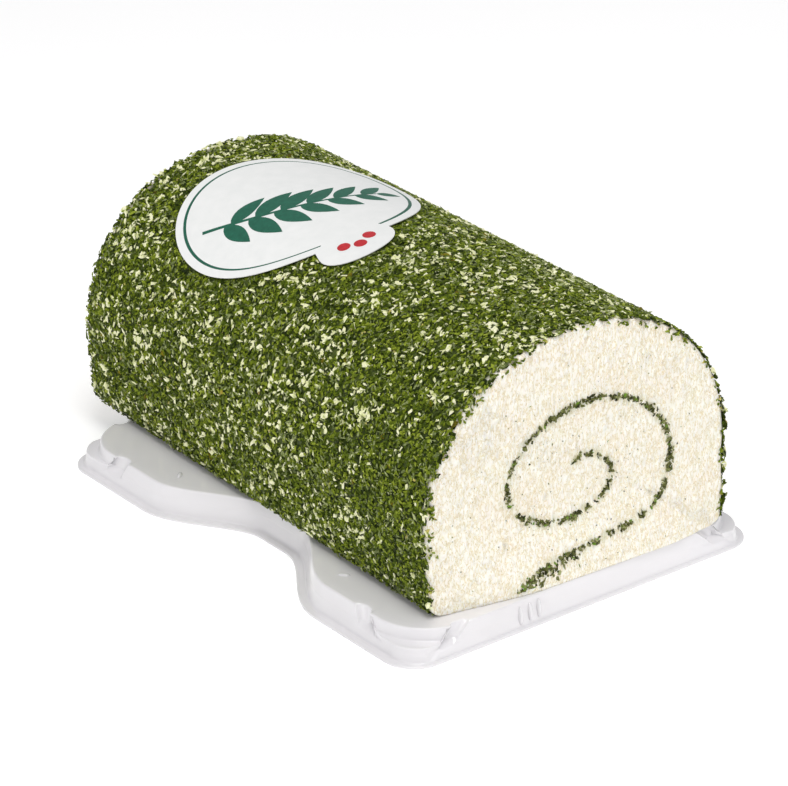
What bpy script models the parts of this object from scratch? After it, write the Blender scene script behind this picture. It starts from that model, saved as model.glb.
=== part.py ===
"""A rolled cream cheese log, coated in chopped herbs, on its moulded tray.

Metres, +Z up. The cut end faces -Y, and the tray's rim stands on Z = 0.
"""
import math
import random

import bmesh
import bpy
from mathutils import Matrix
from mathutils import Vector

MM = 0.001
GAP = 0.3 * MM

# the log
LOG_LENGTH = 166.2 * MM
LOG_FRONT_Y = -79.3 * MM
LOG_CENTRE_X = 3.4 * MM
CROWN_HEIGHT = 69.0 * MM
BELLY_HEIGHT = 22.0 * MM
BELLY_HALF_WIDTH = 49.8 * MM
LEFT_SHOULDER_POWER = 2.15
RIGHT_SHOULDER_POWER = 2.1
FOOT_POWER = 24.0
FOOT_TUCK = 0.04
OUTLINE_STEPS = 1440
SECTION_POINTS = 72
BEND_WEIGHT = 12.0 * MM

# the herb coat and its flakes
COAT_THICKNESS = 0.8 * MM
FLAKE_ROWS = 17
FLAKES_PER_ROW = 27
FLAKE_LENGTHS = (2.2 * MM, 3.4 * MM)
FLAKE_WIDTHS = (1.3 * MM, 2.1 * MM)
FLAKE_PROUD = (0.45 * MM, 0.8 * MM)
FLAKE_ROOT = 0.45 * MM
FLAKE_SIDES = 5
FLAKE_TAPER = 0.68
FLAKE_TILT = math.radians(9)
FLAKE_ROW_SHIFT = 0.25
FLAKE_JITTER = 0.3
FLAKE_END_MARGIN = 3.0 * MM
FLAKE_LOWEST = 7.0 * MM
FLAKE_SEED = 11

# the herb swirl: half-width and half-height of the roll at each turn, counted from the right
SWIRL_CENTRE_HEIGHT = 26.6 * MM
SWIRL_THICKNESS = 1.0 * MM
SWIRL_POINTS = 72
SLOT_OVERRUN = 5.0 * MM
SLOT_EXTRA_TURN = 0.014
SWIRL_STAGES = (
    (-0.40, 33.3, 46.5),
    (-0.33, 33.0, 28.2),
    (-0.25, 33.0, 21.6),
    (0.00, 30.7, 21.2),
    (0.25, 28.4, 20.9),
    (0.50, 23.9, 17.0),
    (0.75, 16.0, 10.5),
    (1.00, 9.5, 7.6),
    (1.34, 3.6, 5.4),
)

# the paper label, measured along the crown and along the log
LABEL_CENTRE_ARC = -11.5 * MM
LABEL_CENTRE_Y = 115.6 * MM
LABEL_LONG_HALF = 36.0 * MM
LABEL_SHORT_HALF = 30.6 * MM
LABEL_TURN = math.radians(-40)
LABEL_TAB_CENTRE = (-2.6 * MM, -33.6 * MM)
LABEL_TAB_HALF_SIZES = (11.8 * MM, 8.6 * MM)
LABEL_THICKNESS = 0.35 * MM
LABEL_SPOKES = 36
LABEL_RINGS = 7
LABEL_LIFT = 0.45 * MM
LABEL_CLEARANCE = 3.0 * MM

# the tray
TRAY_CENTRE = Vector((0.0, -5.15 * MM, 0.0))
TRAY_TURN = math.radians(2.0)
TRAY_HEIGHT = 8.5 * MM
TRAY_WALL = 0.7 * MM
DECK_HALF_WIDTH = 58.0 * MM
DECK_HALF_LENGTH = 78.0 * MM
DECK_CORNER_RADIUS = 16.0 * MM
WAIST_HALF_WIDTH = 42.0 * MM
WAIST_FLAT = 6.0 * MM
WAIST_EASE = 34.0 * MM
RIM_SIDE_REACH = 4.15 * MM
RIM_END_REACH = 2.0 * MM
RIM_CORNER_RADIUS = 10.0 * MM
RIM_END_WIDTH = 1.1 * MM
RIM_SIDE_WIDTH = 2.5 * MM
EDGE_ROUNDING = 0.5 * MM
LEDGE_HEIGHT = 4.8 * MM
RISER_SHARE = 0.1
LEDGE_SHARE = 0.85
FLUTE_DEPTH = 1.9 * MM
FLUTE_HALF_WIDTH = 3.1 * MM
FLUTE_FLOOR = 3.0 * MM
END_FLUTE = 42.8 * MM
SIDE_FLUTE = 73.5 * MM
CORNER_STEPS = 7
WAIST_STEPS = 8
TRAY_LEVELS = (
    ("deck", TRAY_HEIGHT),
    ("deck edge", TRAY_HEIGHT - EDGE_ROUNDING),
    ("above ledge", LEDGE_HEIGHT + EDGE_ROUNDING / 2),
    ("ledge", LEDGE_HEIGHT),
    ("below flute", FLUTE_FLOOR),
    ("wall foot", TRAY_WALL),
    ("rim edge", TRAY_WALL),
)

CHEESE_BASE = TRAY_HEIGHT + GAP + COAT_THICKNESS + GAP


def clear_scene():
    for old in list(bpy.data.objects):
        bpy.data.objects.remove(old, do_unlink=True)


def new_collection(name):
    collection = bpy.data.collections.new(name)
    bpy.context.scene.collection.children.link(collection)
    return collection


def finish_material(name, colour, roughness):
    material = bpy.data.materials.new(name)
    material.use_nodes = True
    shader = material.node_tree.nodes["Principled BSDF"]
    shader.inputs["Base Color"].default_value = (*colour, 1.0)
    shader.inputs["Roughness"].default_value = roughness
    shader.inputs["Metallic"].default_value = 0.0
    return material


def add_object(name, mesh, collection):
    piece = bpy.data.objects.new(name, mesh)
    collection.objects.link(piece)
    return piece


def mesh_from(bm, name):
    mesh = bpy.data.meshes.new(name)
    bm.to_mesh(mesh)
    bm.free()
    return mesh


def apply_modifiers(piece):
    """Replace the piece's mesh with what its modifiers make of it."""
    bpy.context.view_layer.update()
    depsgraph = bpy.context.evaluated_depsgraph_get()
    mesh = bpy.data.meshes.new_from_object(piece.evaluated_get(depsgraph))
    piece.modifiers.clear()
    piece.data = mesh


def solidify(piece, thickness, offset):
    shell = piece.modifiers.new("wall", "SOLIDIFY")
    shell.thickness = thickness
    shell.offset = offset
    shell.use_even_offset = True


def evenly_spaced(points, count):
    """Points at equal steps along a closed outline, a bend counting as extra length."""
    ends = points[1:] + points[:1]
    reach = [0.0]
    for i, (start, end) in enumerate(zip(points, ends)):
        bend = abs((end - start).angle_signed(start - points[i - 1]))
        reach.append(reach[-1] + (end - start).length + BEND_WEIGHT * bend)
    spaced = []
    index = 0
    for i in range(count):
        target = reach[-1] * i / count
        while reach[index + 1] < target:
            index += 1
        share = (target - reach[index]) / (reach[index + 1] - reach[index])
        spaced.append(points[index].lerp(ends[index], share))
    return spaced


def section_outline(grow):
    """The log's section as X and height, counterclockwise from the right belly, grown outwards."""
    dense = []
    for i in range(OUTLINE_STEPS):
        angle = 2 * math.pi * (i + 0.5) / OUTLINE_STEPS
        across = math.cos(angle)
        up = math.sin(angle)
        if up < 0:
            power = FOOT_POWER
            rise = BELLY_HEIGHT
        else:
            power = RIGHT_SHOULDER_POWER if across > 0 else LEFT_SHOULDER_POWER
            rise = CROWN_HEIGHT - BELLY_HEIGHT
        x = math.copysign(abs(across) ** (2 / power), across) * BELLY_HALF_WIDTH
        z = BELLY_HEIGHT + math.copysign(abs(up) ** (2 / power), up) * rise
        below = max(0.0, 1 - z / BELLY_HEIGHT)
        dense.append(Vector((x * (1 - FOOT_TUCK * below ** 2), z)))
    ring = evenly_spaced(dense, SECTION_POINTS)
    grown = []
    for i, point in enumerate(ring):
        along = (ring[(i + 1) % SECTION_POINTS] - ring[i - 1]).normalized()
        grown.append(point + Vector((along.y, -along.x)) * grow)
    return grown


def place_on_log(point, y):
    return Vector((LOG_CENTRE_X + point.x, y, CHEESE_BASE + point.y))


def crown_line(grow):
    """The section from the left side over the crown to the right, with the distance from the top."""
    upper = [p for p in section_outline(grow) if p.y > FLAKE_LOWEST]
    upper.sort(key=lambda p: math.atan2(p.y - FLAKE_LOWEST, -p.x))
    reach = [0.0]
    for start, end in zip(upper, upper[1:]):
        reach.append(reach[-1] + (end - start).length)
    top = reach[max(range(len(upper)), key=lambda i: upper[i].y)]
    return upper, [r - top for r in reach]


def on_crown(line, reach, arc):
    """The point on the crown at this distance from the top, and the outward direction there."""
    index = 0
    while index < len(line) - 2 and reach[index + 1] < arc:
        index += 1
    start = line[index]
    end = line[index + 1]
    share = (arc - reach[index]) / (reach[index + 1] - reach[index])
    along = (end - start).normalized()
    return start.lerp(end, share), Vector((-along.y, along.x))


def extruded_line(points, closed, front_y, length):
    """An open surface: a line of X and height points drawn out along the log."""
    bm = bmesh.new()
    verts = [bm.verts.new(place_on_log(p, front_y)) for p in points]
    edges = [bm.edges.new(pair) for pair in zip(verts, verts[1:])]
    if closed:
        edges.append(bm.edges.new((verts[-1], verts[0])))
    drawn = bmesh.ops.extrude_edge_only(bm, edges=edges)
    moved = [g for g in drawn["geom"] if isinstance(g, bmesh.types.BMVert)]
    bmesh.ops.translate(bm, vec=Vector((0.0, length, 0.0)), verts=moved)
    bmesh.ops.recalc_face_normals(bm, faces=bm.faces)
    return bm


def swirl_sizes(turn):
    """Half-width and half-height of the roll at a turn, by a smooth curve through the stages."""
    index = 0
    while index < len(SWIRL_STAGES) - 2 and SWIRL_STAGES[index + 1][0] < turn:
        index += 1
    before = SWIRL_STAGES[max(index - 1, 0)]
    start = SWIRL_STAGES[index]
    end = SWIRL_STAGES[index + 1]
    after = SWIRL_STAGES[min(index + 2, len(SWIRL_STAGES) - 1)]
    span = end[0] - start[0]
    t = (turn - start[0]) / span
    sizes = []
    for axis in (1, 2):
        leave = (end[axis] - before[axis]) / (end[0] - before[0]) * span
        arrive = (after[axis] - start[axis]) / (after[0] - start[0]) * span
        value = (2 * t ** 3 - 3 * t ** 2 + 1) * start[axis] + (t ** 3 - 2 * t ** 2 + t) * leave
        value += (3 * t ** 2 - 2 * t ** 3) * end[axis] + (t ** 3 - t ** 2) * arrive
        sizes.append(value * MM)
    return sizes


def swirl_line(extra_turn):
    """The roll's herb line from its outer end at the base to its inner end."""
    first = SWIRL_STAGES[0][0]
    last = SWIRL_STAGES[-1][0] + extra_turn
    points = []
    for i in range(SWIRL_POINTS + 1):
        turn = first + (last - first) * i / SWIRL_POINTS
        across, up = swirl_sizes(turn)
        angle = 2 * math.pi * turn
        points.append(Vector((across * math.cos(angle), SWIRL_CENTRE_HEIGHT + up * math.sin(angle))))
    return points


def make_swirl(collection):
    """The rolled-in herbs, one thin sheet from cut end to cut end, closed off above the base."""
    line = [p for p in swirl_line(0.0) if p.y > SWIRL_THICKNESS]
    surface = extruded_line(line, False, LOG_FRONT_Y, LOG_LENGTH)
    swirl = add_object("herb_swirl", mesh_from(surface, "herb_swirl"), collection)
    solidify(swirl, SWIRL_THICKNESS, 0.0)
    apply_modifiers(swirl)
    swirl.data.materials.append(finish_material("herb line", (0.07, 0.09, 0.03), 0.75))


def make_cheese(collection, cutters):
    """The cheese, with a slot along its whole length where the rolled-in herbs lie."""
    body = extruded_line(section_outline(0.0), True, LOG_FRONT_Y, LOG_LENGTH)
    bmesh.ops.holes_fill(body, edges=body.edges, sides=0)
    bmesh.ops.recalc_face_normals(body, faces=body.faces)
    cheese = add_object("cheese", mesh_from(body, "cheese"), collection)

    line = swirl_line(SLOT_EXTRA_TURN)
    slot = extruded_line(line, False, LOG_FRONT_Y - SLOT_OVERRUN, LOG_LENGTH + 2 * SLOT_OVERRUN)
    cutter = add_object("swirl_slot", mesh_from(slot, "swirl_slot"), cutters)
    cutter.hide_render = True
    cutter.display_type = "WIRE"
    solidify(cutter, SWIRL_THICKNESS + 2 * GAP, 0.0)
    apply_modifiers(cutter)

    cut = cheese.modifiers.new("slot", "BOOLEAN")
    cut.operation = "DIFFERENCE"
    cut.object = cutter
    apply_modifiers(cheese)
    cheese.data.materials.append(finish_material("cream cheese", (0.93, 0.87, 0.74), 0.55))


def oval_reach(angle, centre, half_sizes):
    """How far the far side of an oval lies in a direction from the origin, or 0 if it is missed."""
    step = Vector((math.cos(angle) / half_sizes[0], math.sin(angle) / half_sizes[1]))
    middle = Vector((centre[0] / half_sizes[0], centre[1] / half_sizes[1]))
    half_sum = step.dot(middle)
    inside = half_sum ** 2 - step.length_squared * (middle.length_squared - 1)
    if inside < 0:
        return 0.0
    return (half_sum + math.sqrt(inside)) / step.length_squared


def label_reach(angle):
    """How far the label runs from its centre in a direction: a turned oval with a small tab."""
    oval = oval_reach(angle - LABEL_TURN, (0.0, 0.0), (LABEL_LONG_HALF, LABEL_SHORT_HALF))
    return max(oval, oval_reach(angle, LABEL_TAB_CENTRE, LABEL_TAB_HALF_SIZES))


def make_label(collection):
    """The paper's underside is a disc of spokes and rings laid on the crown, clear of the coat."""
    line, reach = crown_line(GAP + COAT_THICKNESS + LABEL_LIFT)
    bm = bmesh.new()
    bmesh.ops.create_circle(bm, cap_ends=True, cap_tris=True, segments=LABEL_SPOKES, radius=1.0)
    spokes = [e for e in bm.edges if not e.is_boundary]
    bmesh.ops.subdivide_edges(bm, edges=spokes, cuts=LABEL_RINGS - 1, use_grid_fill=True)
    for vert in bm.verts:
        angle = math.atan2(vert.co.y, vert.co.x)
        run = label_reach(angle) * vert.co.to_2d().length
        point, _ = on_crown(line, reach, LABEL_CENTRE_ARC + run * math.cos(angle))
        y = LOG_FRONT_Y + LABEL_CENTRE_Y + run * math.sin(angle)
        vert.co = place_on_log(point, y)
    bmesh.ops.recalc_face_normals(bm, faces=bm.faces)
    if sum(face.normal.z for face in bm.faces) < 0:
        bmesh.ops.reverse_faces(bm, faces=bm.faces)
    label = add_object("label", mesh_from(bm, "label"), collection)
    solidify(label, LABEL_THICKNESS, 1.0)
    apply_modifiers(label)
    label.data.materials.append(finish_material("label paper", (0.9, 0.9, 0.88), 0.5))


def under_label(arc, y):
    """Whether a place on the crown lies under the label or too near its edge."""
    away = Vector((arc - LABEL_CENTRE_ARC, y - LOG_FRONT_Y - LABEL_CENTRE_Y))
    return away.length < label_reach(math.atan2(away.y, away.x)) + LABEL_CLEARANCE


def make_flake(rng, place, outward, collection):
    """One chopped leaf: a thin five-sided chip rooted in the coat."""
    proud = rng.uniform(*FLAKE_PROUD)
    depth = proud + FLAKE_ROOT
    bm = bmesh.new()
    bmesh.ops.create_cone(
        bm, cap_ends=True, segments=FLAKE_SIDES, radius1=0.5, radius2=0.5 * FLAKE_TAPER, depth=depth
    )
    size = Vector((rng.uniform(*FLAKE_LENGTHS), rng.uniform(*FLAKE_WIDTHS), 1.0))
    bmesh.ops.scale(bm, vec=size, verts=bm.verts)
    turn = Matrix.Rotation(rng.uniform(0, 2 * math.pi), 4, "Z")
    tilt = Matrix.Rotation(rng.uniform(-FLAKE_TILT, FLAKE_TILT), 4, "X")
    stand = outward.to_track_quat("Z", "Y").to_matrix().to_4x4()
    middle = place + outward * (proud - FLAKE_ROOT) / 2
    bmesh.ops.transform(bm, matrix=Matrix.Translation(middle) @ stand @ turn @ tilt, verts=bm.verts)
    add_object("flake", mesh_from(bm, "flake"), collection)


def make_coat(collection):
    """The skin of chopped herbs round the cheese, with its largest leaves fused on as flakes."""
    inner = extruded_line(section_outline(GAP), True, LOG_FRONT_Y, LOG_LENGTH)
    coat = add_object("herb_coat", mesh_from(inner, "herb_coat"), collection)
    solidify(coat, COAT_THICKNESS, 1.0)
    apply_modifiers(coat)

    flakes = new_collection("coat_flakes")
    rng = random.Random(FLAKE_SEED)
    line, reach = crown_line(GAP + COAT_THICKNESS)
    row_step = (LOG_LENGTH - 2 * FLAKE_END_MARGIN) / FLAKE_ROWS
    arc_step = (reach[-1] - reach[0]) / FLAKES_PER_ROW
    for row in range(FLAKE_ROWS):
        shift = 0.5 + FLAKE_ROW_SHIFT * (-1) ** row
        for column in range(FLAKES_PER_ROW):
            arc = reach[0] + arc_step * (column + shift + rng.uniform(-FLAKE_JITTER, FLAKE_JITTER) / 2)
            y = LOG_FRONT_Y + FLAKE_END_MARGIN
            y += row_step * (row + 0.5 + rng.uniform(-FLAKE_JITTER, FLAKE_JITTER))
            if under_label(arc, y):
                continue
            point, facing = on_crown(line, reach, arc)
            make_flake(rng, place_on_log(point, y), Vector((facing.x, 0.0, facing.y)), flakes)

    join = coat.modifiers.new("flakes", "BOOLEAN")
    join.operation = "UNION"
    join.operand_type = "COLLECTION"
    join.collection = flakes
    join.solver = "MANIFOLD"
    apply_modifiers(coat)
    for flake in list(flakes.objects):
        bpy.data.objects.remove(flake, do_unlink=True)
    bpy.data.collections.remove(flakes)
    coat.data.materials.clear()
    coat.data.materials.append(finish_material("chopped herbs", (0.13, 0.19, 0.05), 0.8))


def deck_half_width(y):
    """Half the deck's width: full at the lobes and drawn in at the waist."""
    t = min(1.0, max(0.0, (abs(y) - WAIST_FLAT) / WAIST_EASE))
    return WAIST_HALF_WIDTH + (DECK_HALF_WIDTH - WAIST_HALF_WIDTH) * t * t * (3 - 2 * t)


def flute_stations(centre):
    """Distances across a flute, from edge to edge, with how deep the flute is at each."""
    return [(centre - FLUTE_HALF_WIDTH, 0.0), (centre - FLUTE_HALF_WIDTH / 2, 1.0),
            (centre + FLUTE_HALF_WIDTH / 2, 1.0), (centre + FLUTE_HALF_WIDTH, 0.0)]


def edge_station(distance, ledge, flute):
    """A station on the deck's edge, at a distance from the middle of one end.

    A station is its place on the deck's edge, its outward direction, its place on the rim's
    edge, the rim's width there, how far the corner ledge stands out and how deep a flute is cut.
    """
    deck_centre = Vector((DECK_HALF_WIDTH - DECK_CORNER_RADIUS, DECK_CORNER_RADIUS - DECK_HALF_LENGTH))
    rim_centre = Vector((DECK_HALF_WIDTH + RIM_SIDE_REACH - RIM_CORNER_RADIUS,
                         RIM_CORNER_RADIUS - DECK_HALF_LENGTH - RIM_END_REACH))
    arc = math.pi / 2 * DECK_CORNER_RADIUS
    turned = min(1.0, max(0.0, (distance - deck_centre.x) / arc))
    facing = Vector((math.sin(math.pi / 2 * turned), -math.cos(math.pi / 2 * turned)))
    place = deck_centre + facing * DECK_CORNER_RADIUS
    rim = rim_centre + facing * RIM_CORNER_RADIUS
    if turned == 0.0:
        place.x = distance
        rim.x = distance * rim_centre.x / deck_centre.x
    if turned == 1.0:
        waist_start = -(WAIST_FLAT + WAIST_EASE)
        place.y = deck_centre.y + distance - deck_centre.x - arc
        share = (place.y - waist_start) / (deck_centre.y - waist_start)
        rim.y = waist_start + (rim_centre.y - waist_start) * share
    width = RIM_END_WIDTH + (RIM_SIDE_WIDTH - RIM_END_WIDTH) * turned
    return place, facing, rim, width, ledge, flute


def waist_station(y):
    """A station on the long side, where the deck draws in to the waist."""
    nudge = 0.1 * MM
    slope = (deck_half_width(y + nudge) - deck_half_width(y - nudge)) / (2 * nudge)
    facing = Vector((1.0, -slope)).normalized()
    place = Vector((deck_half_width(y), y))
    return place, facing, place + facing * RIM_SIDE_REACH, RIM_SIDE_WIDTH, 0.0, 0.0


def quarter_stations():
    """A quarter of the deck's edge, from the middle of one end to the middle of a side."""
    stations = [edge_station(0.0, 0.0, 0.0), edge_station(END_FLUTE / 2, 0.0, 0.0)]
    stations += [edge_station(distance, 0.0, flute) for distance, flute in flute_stations(END_FLUTE)]
    first = END_FLUTE + FLUTE_HALF_WIDTH
    last = SIDE_FLUTE - FLUTE_HALF_WIDTH
    for i in range(1, CORNER_STEPS):
        stations.append(edge_station(first + (last - first) * i / CORNER_STEPS, 1.0, 0.0))
    stations += [edge_station(distance, 0.0, flute) for distance, flute in flute_stations(SIDE_FLUTE)]
    for i in range(WAIST_STEPS + 1):
        stations.append(waist_station(-(WAIST_FLAT + WAIST_EASE) * (1 - i / WAIST_STEPS)))
    return stations


def mirrored(station, flip):
    place, facing, rim, *sizes = station
    return (place * flip, facing * flip, rim * flip, *sizes)


def tray_stations():
    """The whole deck edge, mirrored from its quarter."""
    quarter = quarter_stations()
    right = quarter + [mirrored(s, Vector((1, -1))) for s in reversed(quarter[:-1])]
    left = [mirrored(s, Vector((-1, 1))) for s in reversed(right[1:-1])]
    return right + left


def tray_ring(station, level):
    """A station's place at one level of the tray, from the deck's edge down to the rim's."""
    place, facing, rim, width, ledge, flute = station
    foot = rim - facing * width
    if level == "rim edge":
        return rim
    if level == "wall foot":
        return foot
    if level == "deck":
        return place - facing * (EDGE_ROUNDING + FLUTE_DEPTH * flute)
    if level == "deck edge":
        return place - facing * FLUTE_DEPTH * flute
    fallen = (TRAY_HEIGHT - LEDGE_HEIGHT) / TRAY_HEIGHT
    if level == "above ledge":
        share = fallen + (RISER_SHARE - fallen) * ledge
        return place.lerp(foot, share) - facing * FLUTE_DEPTH * flute
    share = fallen + (LEDGE_SHARE - fallen) * ledge
    if level == "ledge":
        return place.lerp(foot, share) - facing * FLUTE_DEPTH * flute
    return place.lerp(foot, max(share, (TRAY_HEIGHT - FLUTE_FLOOR) / TRAY_HEIGHT))


def make_tray(collection):
    """A thin wall lofted ring by ring from the deck down to the rim, open underneath."""
    stations = tray_stations()
    bm = bmesh.new()
    rings = []
    for level, height in TRAY_LEVELS:
        spots = [tray_ring(station, level) for station in stations]
        rings.append([bm.verts.new((spot.x, spot.y, height)) for spot in spots])
    for upper, lower in zip(rings, rings[1:]):
        for i in range(len(stations)):
            bm.faces.new((upper[i - 1], upper[i], lower[i], lower[i - 1]))
    bm.faces.new(rings[0])
    bmesh.ops.recalc_face_normals(bm, faces=bm.faces)
    if max(bm.faces, key=lambda face: face.calc_area()).normal.z < 0:
        bmesh.ops.reverse_faces(bm, faces=bm.faces)
    tray = add_object("tray", mesh_from(bm, "tray"), collection)
    solidify(tray, TRAY_WALL, -1.0)
    apply_modifiers(tray)
    place = Matrix.Translation(TRAY_CENTRE) @ Matrix.Rotation(TRAY_TURN, 4, "Z")
    tray.data.transform(place)
    near_floor = TRAY_WALL / 3
    for vert in tray.data.vertices:
        if vert.co.z < near_floor:
            vert.co.z = 0.0
    tray.data.materials.append(finish_material("moulded plastic", (0.78, 0.77, 0.79), 0.3))


def main():
    clear_scene()
    log = new_collection("cream_cheese_log")
    cutters = new_collection("cutters")
    make_tray(log)
    make_cheese(log, cutters)
    make_swirl(log)
    make_coat(log)
    make_label(log)


main()
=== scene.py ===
# %% [markdown]
# # A herb-coated cream cheese log on its tray
# The real thing is a slab of fresh cream cheese, spread with chopped herbs, rolled up, and rolled once more
# in herbs. It lies on a thin moulded tray and carries a paper label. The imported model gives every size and
# place. This lesson builds the surfaces that the eye sees: torn curd, thousands of chopped leaves, paper and
# plastic. We start by loading that model, and keep its box to compare the finished scene with.

import math

import bmesh
import bpy
import numpy as np
from mathutils import Matrix, Vector, noise


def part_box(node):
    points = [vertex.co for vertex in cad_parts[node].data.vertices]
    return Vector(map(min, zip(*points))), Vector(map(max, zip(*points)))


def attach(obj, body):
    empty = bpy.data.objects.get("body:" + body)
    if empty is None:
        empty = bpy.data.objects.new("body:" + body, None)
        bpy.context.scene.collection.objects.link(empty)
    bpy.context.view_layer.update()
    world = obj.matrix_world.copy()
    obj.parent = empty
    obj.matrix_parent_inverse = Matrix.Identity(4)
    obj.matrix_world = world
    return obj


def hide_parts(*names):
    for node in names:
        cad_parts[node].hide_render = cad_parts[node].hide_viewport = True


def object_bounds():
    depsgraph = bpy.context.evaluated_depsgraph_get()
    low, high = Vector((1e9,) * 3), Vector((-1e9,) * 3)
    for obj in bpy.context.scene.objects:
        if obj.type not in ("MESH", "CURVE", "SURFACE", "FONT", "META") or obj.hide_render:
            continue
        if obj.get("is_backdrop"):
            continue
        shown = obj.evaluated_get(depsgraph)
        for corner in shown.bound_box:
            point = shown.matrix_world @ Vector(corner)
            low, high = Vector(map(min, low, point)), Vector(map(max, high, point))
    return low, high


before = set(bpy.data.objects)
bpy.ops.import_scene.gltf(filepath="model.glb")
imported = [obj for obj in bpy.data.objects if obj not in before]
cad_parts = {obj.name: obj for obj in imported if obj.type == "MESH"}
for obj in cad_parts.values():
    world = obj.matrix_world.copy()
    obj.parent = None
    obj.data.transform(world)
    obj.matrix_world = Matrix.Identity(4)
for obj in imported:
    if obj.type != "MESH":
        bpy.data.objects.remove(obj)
cad_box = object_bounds()
MM = 0.001
print("nodes", sorted(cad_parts))

# %% [markdown]
# ## Camera, floor and light
# A product photo like this one has white paper under the object and light from all sides. A large lamp above
# gives the soft shading, and an even pale world fills the shadows. The camera is a long lens that looks down
# a little, from the left of the cut face. The paper is lit from behind too, so it glows a little by itself.

# %% Camera
CAMERA_PLACE = Vector((-0.5197, -0.7092, 0.4423))
CAMERA_TURN = (math.radians(64.956), 0.0, math.radians(-36.252))
CAMERA_LENS_MM = 158.0
CAMERA_SENSOR_MM = 36.0


def put_in_scene(name, data):
    """A new object in the scene, for a camera, a lamp or a mesh."""
    thing = bpy.data.objects.new(name, data)
    bpy.context.scene.collection.objects.link(thing)
    return thing


camera_data = bpy.data.cameras.new("camera")
camera_data.lens = CAMERA_LENS_MM
camera_data.sensor_width = CAMERA_SENSOR_MM
camera = put_in_scene("camera", camera_data)
camera.location = CAMERA_PLACE
camera.rotation_euler = CAMERA_TURN
bpy.context.scene.camera = camera
bpy.context.scene.view_settings.view_transform = "Standard"
print("camera distance, m:", round(CAMERA_PLACE.length, 3))

# %% Lamps and world
LAMPS = (
    # name, place, size, power, colour
    ("top_lamp", (-0.25, -0.45, 1.25), 0.6, 7.9, (1.0, 0.99, 0.97)),
    ("front_lamp", (0.45, -1.3, 0.7), 0.8, 3.3, (0.99, 0.99, 1.0)),
    ("left_lamp", (-1.25, -0.1, 0.65), 0.9, 2.9, (1.0, 0.99, 0.98)),
)
ROOM_COLOUR = (0.98, 0.98, 1.0, 1.0)
ROOM_STRENGTH = 0.43

for lamp_name, lamp_place, lamp_size, power, lamp_colour in LAMPS:
    lamp_data = bpy.data.lights.new(lamp_name, "AREA")
    lamp_data.shape = "DISK"
    lamp_data.size = lamp_size
    lamp_data.energy = power
    lamp_data.color = lamp_colour
    lamp = put_in_scene(lamp_name, lamp_data)
    lamp.location = lamp_place
    lamp.rotation_euler = (-Vector(lamp_place)).to_track_quat("-Z", "Y").to_euler()

world = bpy.data.worlds.new("pale_room")
world.use_nodes = True
background = world.node_tree.nodes["Background"]
background.inputs["Color"].default_value = ROOM_COLOUR
background.inputs["Strength"].default_value = ROOM_STRENGTH
bpy.context.scene.world = world
print("lamps", len(LAMPS))


# %% Helpers for materials
def new_material(name, roughness):
    """A material with its shader, whose sockets are set or linked later."""
    material = bpy.data.materials.new(name)
    material.use_nodes = True
    shader = material.node_tree.nodes["Principled BSDF"]
    shader.inputs["Roughness"].default_value = roughness
    return material, shader


def add_node(material, kind, **values):
    """A shader node, with its sockets set by name."""
    made = material.node_tree.nodes.new(kind)
    for name, value in values.items():
        made.inputs[name.replace("_", " ")].default_value = value
    return made


def join(material, source, target):
    material.node_tree.links.new(source, target)


def place_pattern(material, scale):
    """Object coordinates, stretched by a scale along X, Y and Z."""
    coordinates = add_node(material, "ShaderNodeTexCoord")
    mapping = add_node(material, "ShaderNodeMapping", Scale=scale)
    join(material, coordinates.outputs["Object"], mapping.inputs["Vector"])
    return mapping.outputs["Vector"]


def noise_pattern(material, scale, detail=3.0, roughness=0.55):
    """A cloudy pattern of values from 0 to 1."""
    cloud = add_node(material, "ShaderNodeTexNoise", Scale=1.0, Detail=detail, Roughness=roughness)
    join(material, place_pattern(material, scale), cloud.inputs["Vector"])
    return cloud.outputs["Fac"]


def colour_ramp(material, value, stops):
    """Colours by value, from a list of (position, colour)."""
    ramp = add_node(material, "ShaderNodeValToRGB")
    entries = ramp.color_ramp.elements
    while len(entries) < len(stops):
        entries.new(0.5)
    for entry, (position, colour) in zip(entries, stops):
        entry.position = position
        entry.color = (*colour, 1.0)
    join(material, value, ramp.inputs["Fac"])
    return ramp.outputs["Color"]


def feed(material, sockets, values):
    """Link each value that is a socket, and set each that is a number or colour."""
    for socket, value in zip(sockets, values):
        if isinstance(value, bpy.types.NodeSocket):
            join(material, value, socket)
        else:
            socket.default_value = value


def mix_colours(material, share, first, second, blend="MIX"):
    """Two colours mixed by a share."""
    mixer = material.node_tree.nodes.new("ShaderNodeMix")
    mixer.data_type = "RGBA"
    mixer.blend_type = blend
    feed(material, (mixer.inputs[0], mixer.inputs[6], mixer.inputs[7]), (share, first, second))
    return mixer.outputs[2]


def calculate(material, operation, first, second):
    """One sum on two sockets or numbers."""
    sum_node = material.node_tree.nodes.new("ShaderNodeMath")
    sum_node.operation = operation
    feed(material, sum_node.inputs, (first, second))
    return sum_node.outputs[0]


def read_attribute(material, name):
    attribute = material.node_tree.nodes.new("ShaderNodeAttribute")
    attribute.attribute_name = name
    return attribute.outputs["Fac"]


def add_bump(material, shader, height, depth, strength=1.0):
    bump = add_node(material, "ShaderNodeBump", Strength=strength, Distance=depth)
    join(material, height, bump.inputs["Height"])
    join(material, bump.outputs["Normal"], shader.inputs["Normal"])


def mottled_material(name, roughness, scale, detail, stops):
    """A material whose colour follows a cloudy pattern, and its shader."""
    material, shader = new_material(name, roughness)
    tint = colour_ramp(material, noise_pattern(material, scale, detail), stops)
    join(material, tint, shader.inputs["Base Color"])
    return material, shader


# %% Helpers that finish a piece
def mesh_from(bm, name):
    mesh = bpy.data.meshes.new(name)
    bm.to_mesh(mesh)
    bm.free()
    return mesh


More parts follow.
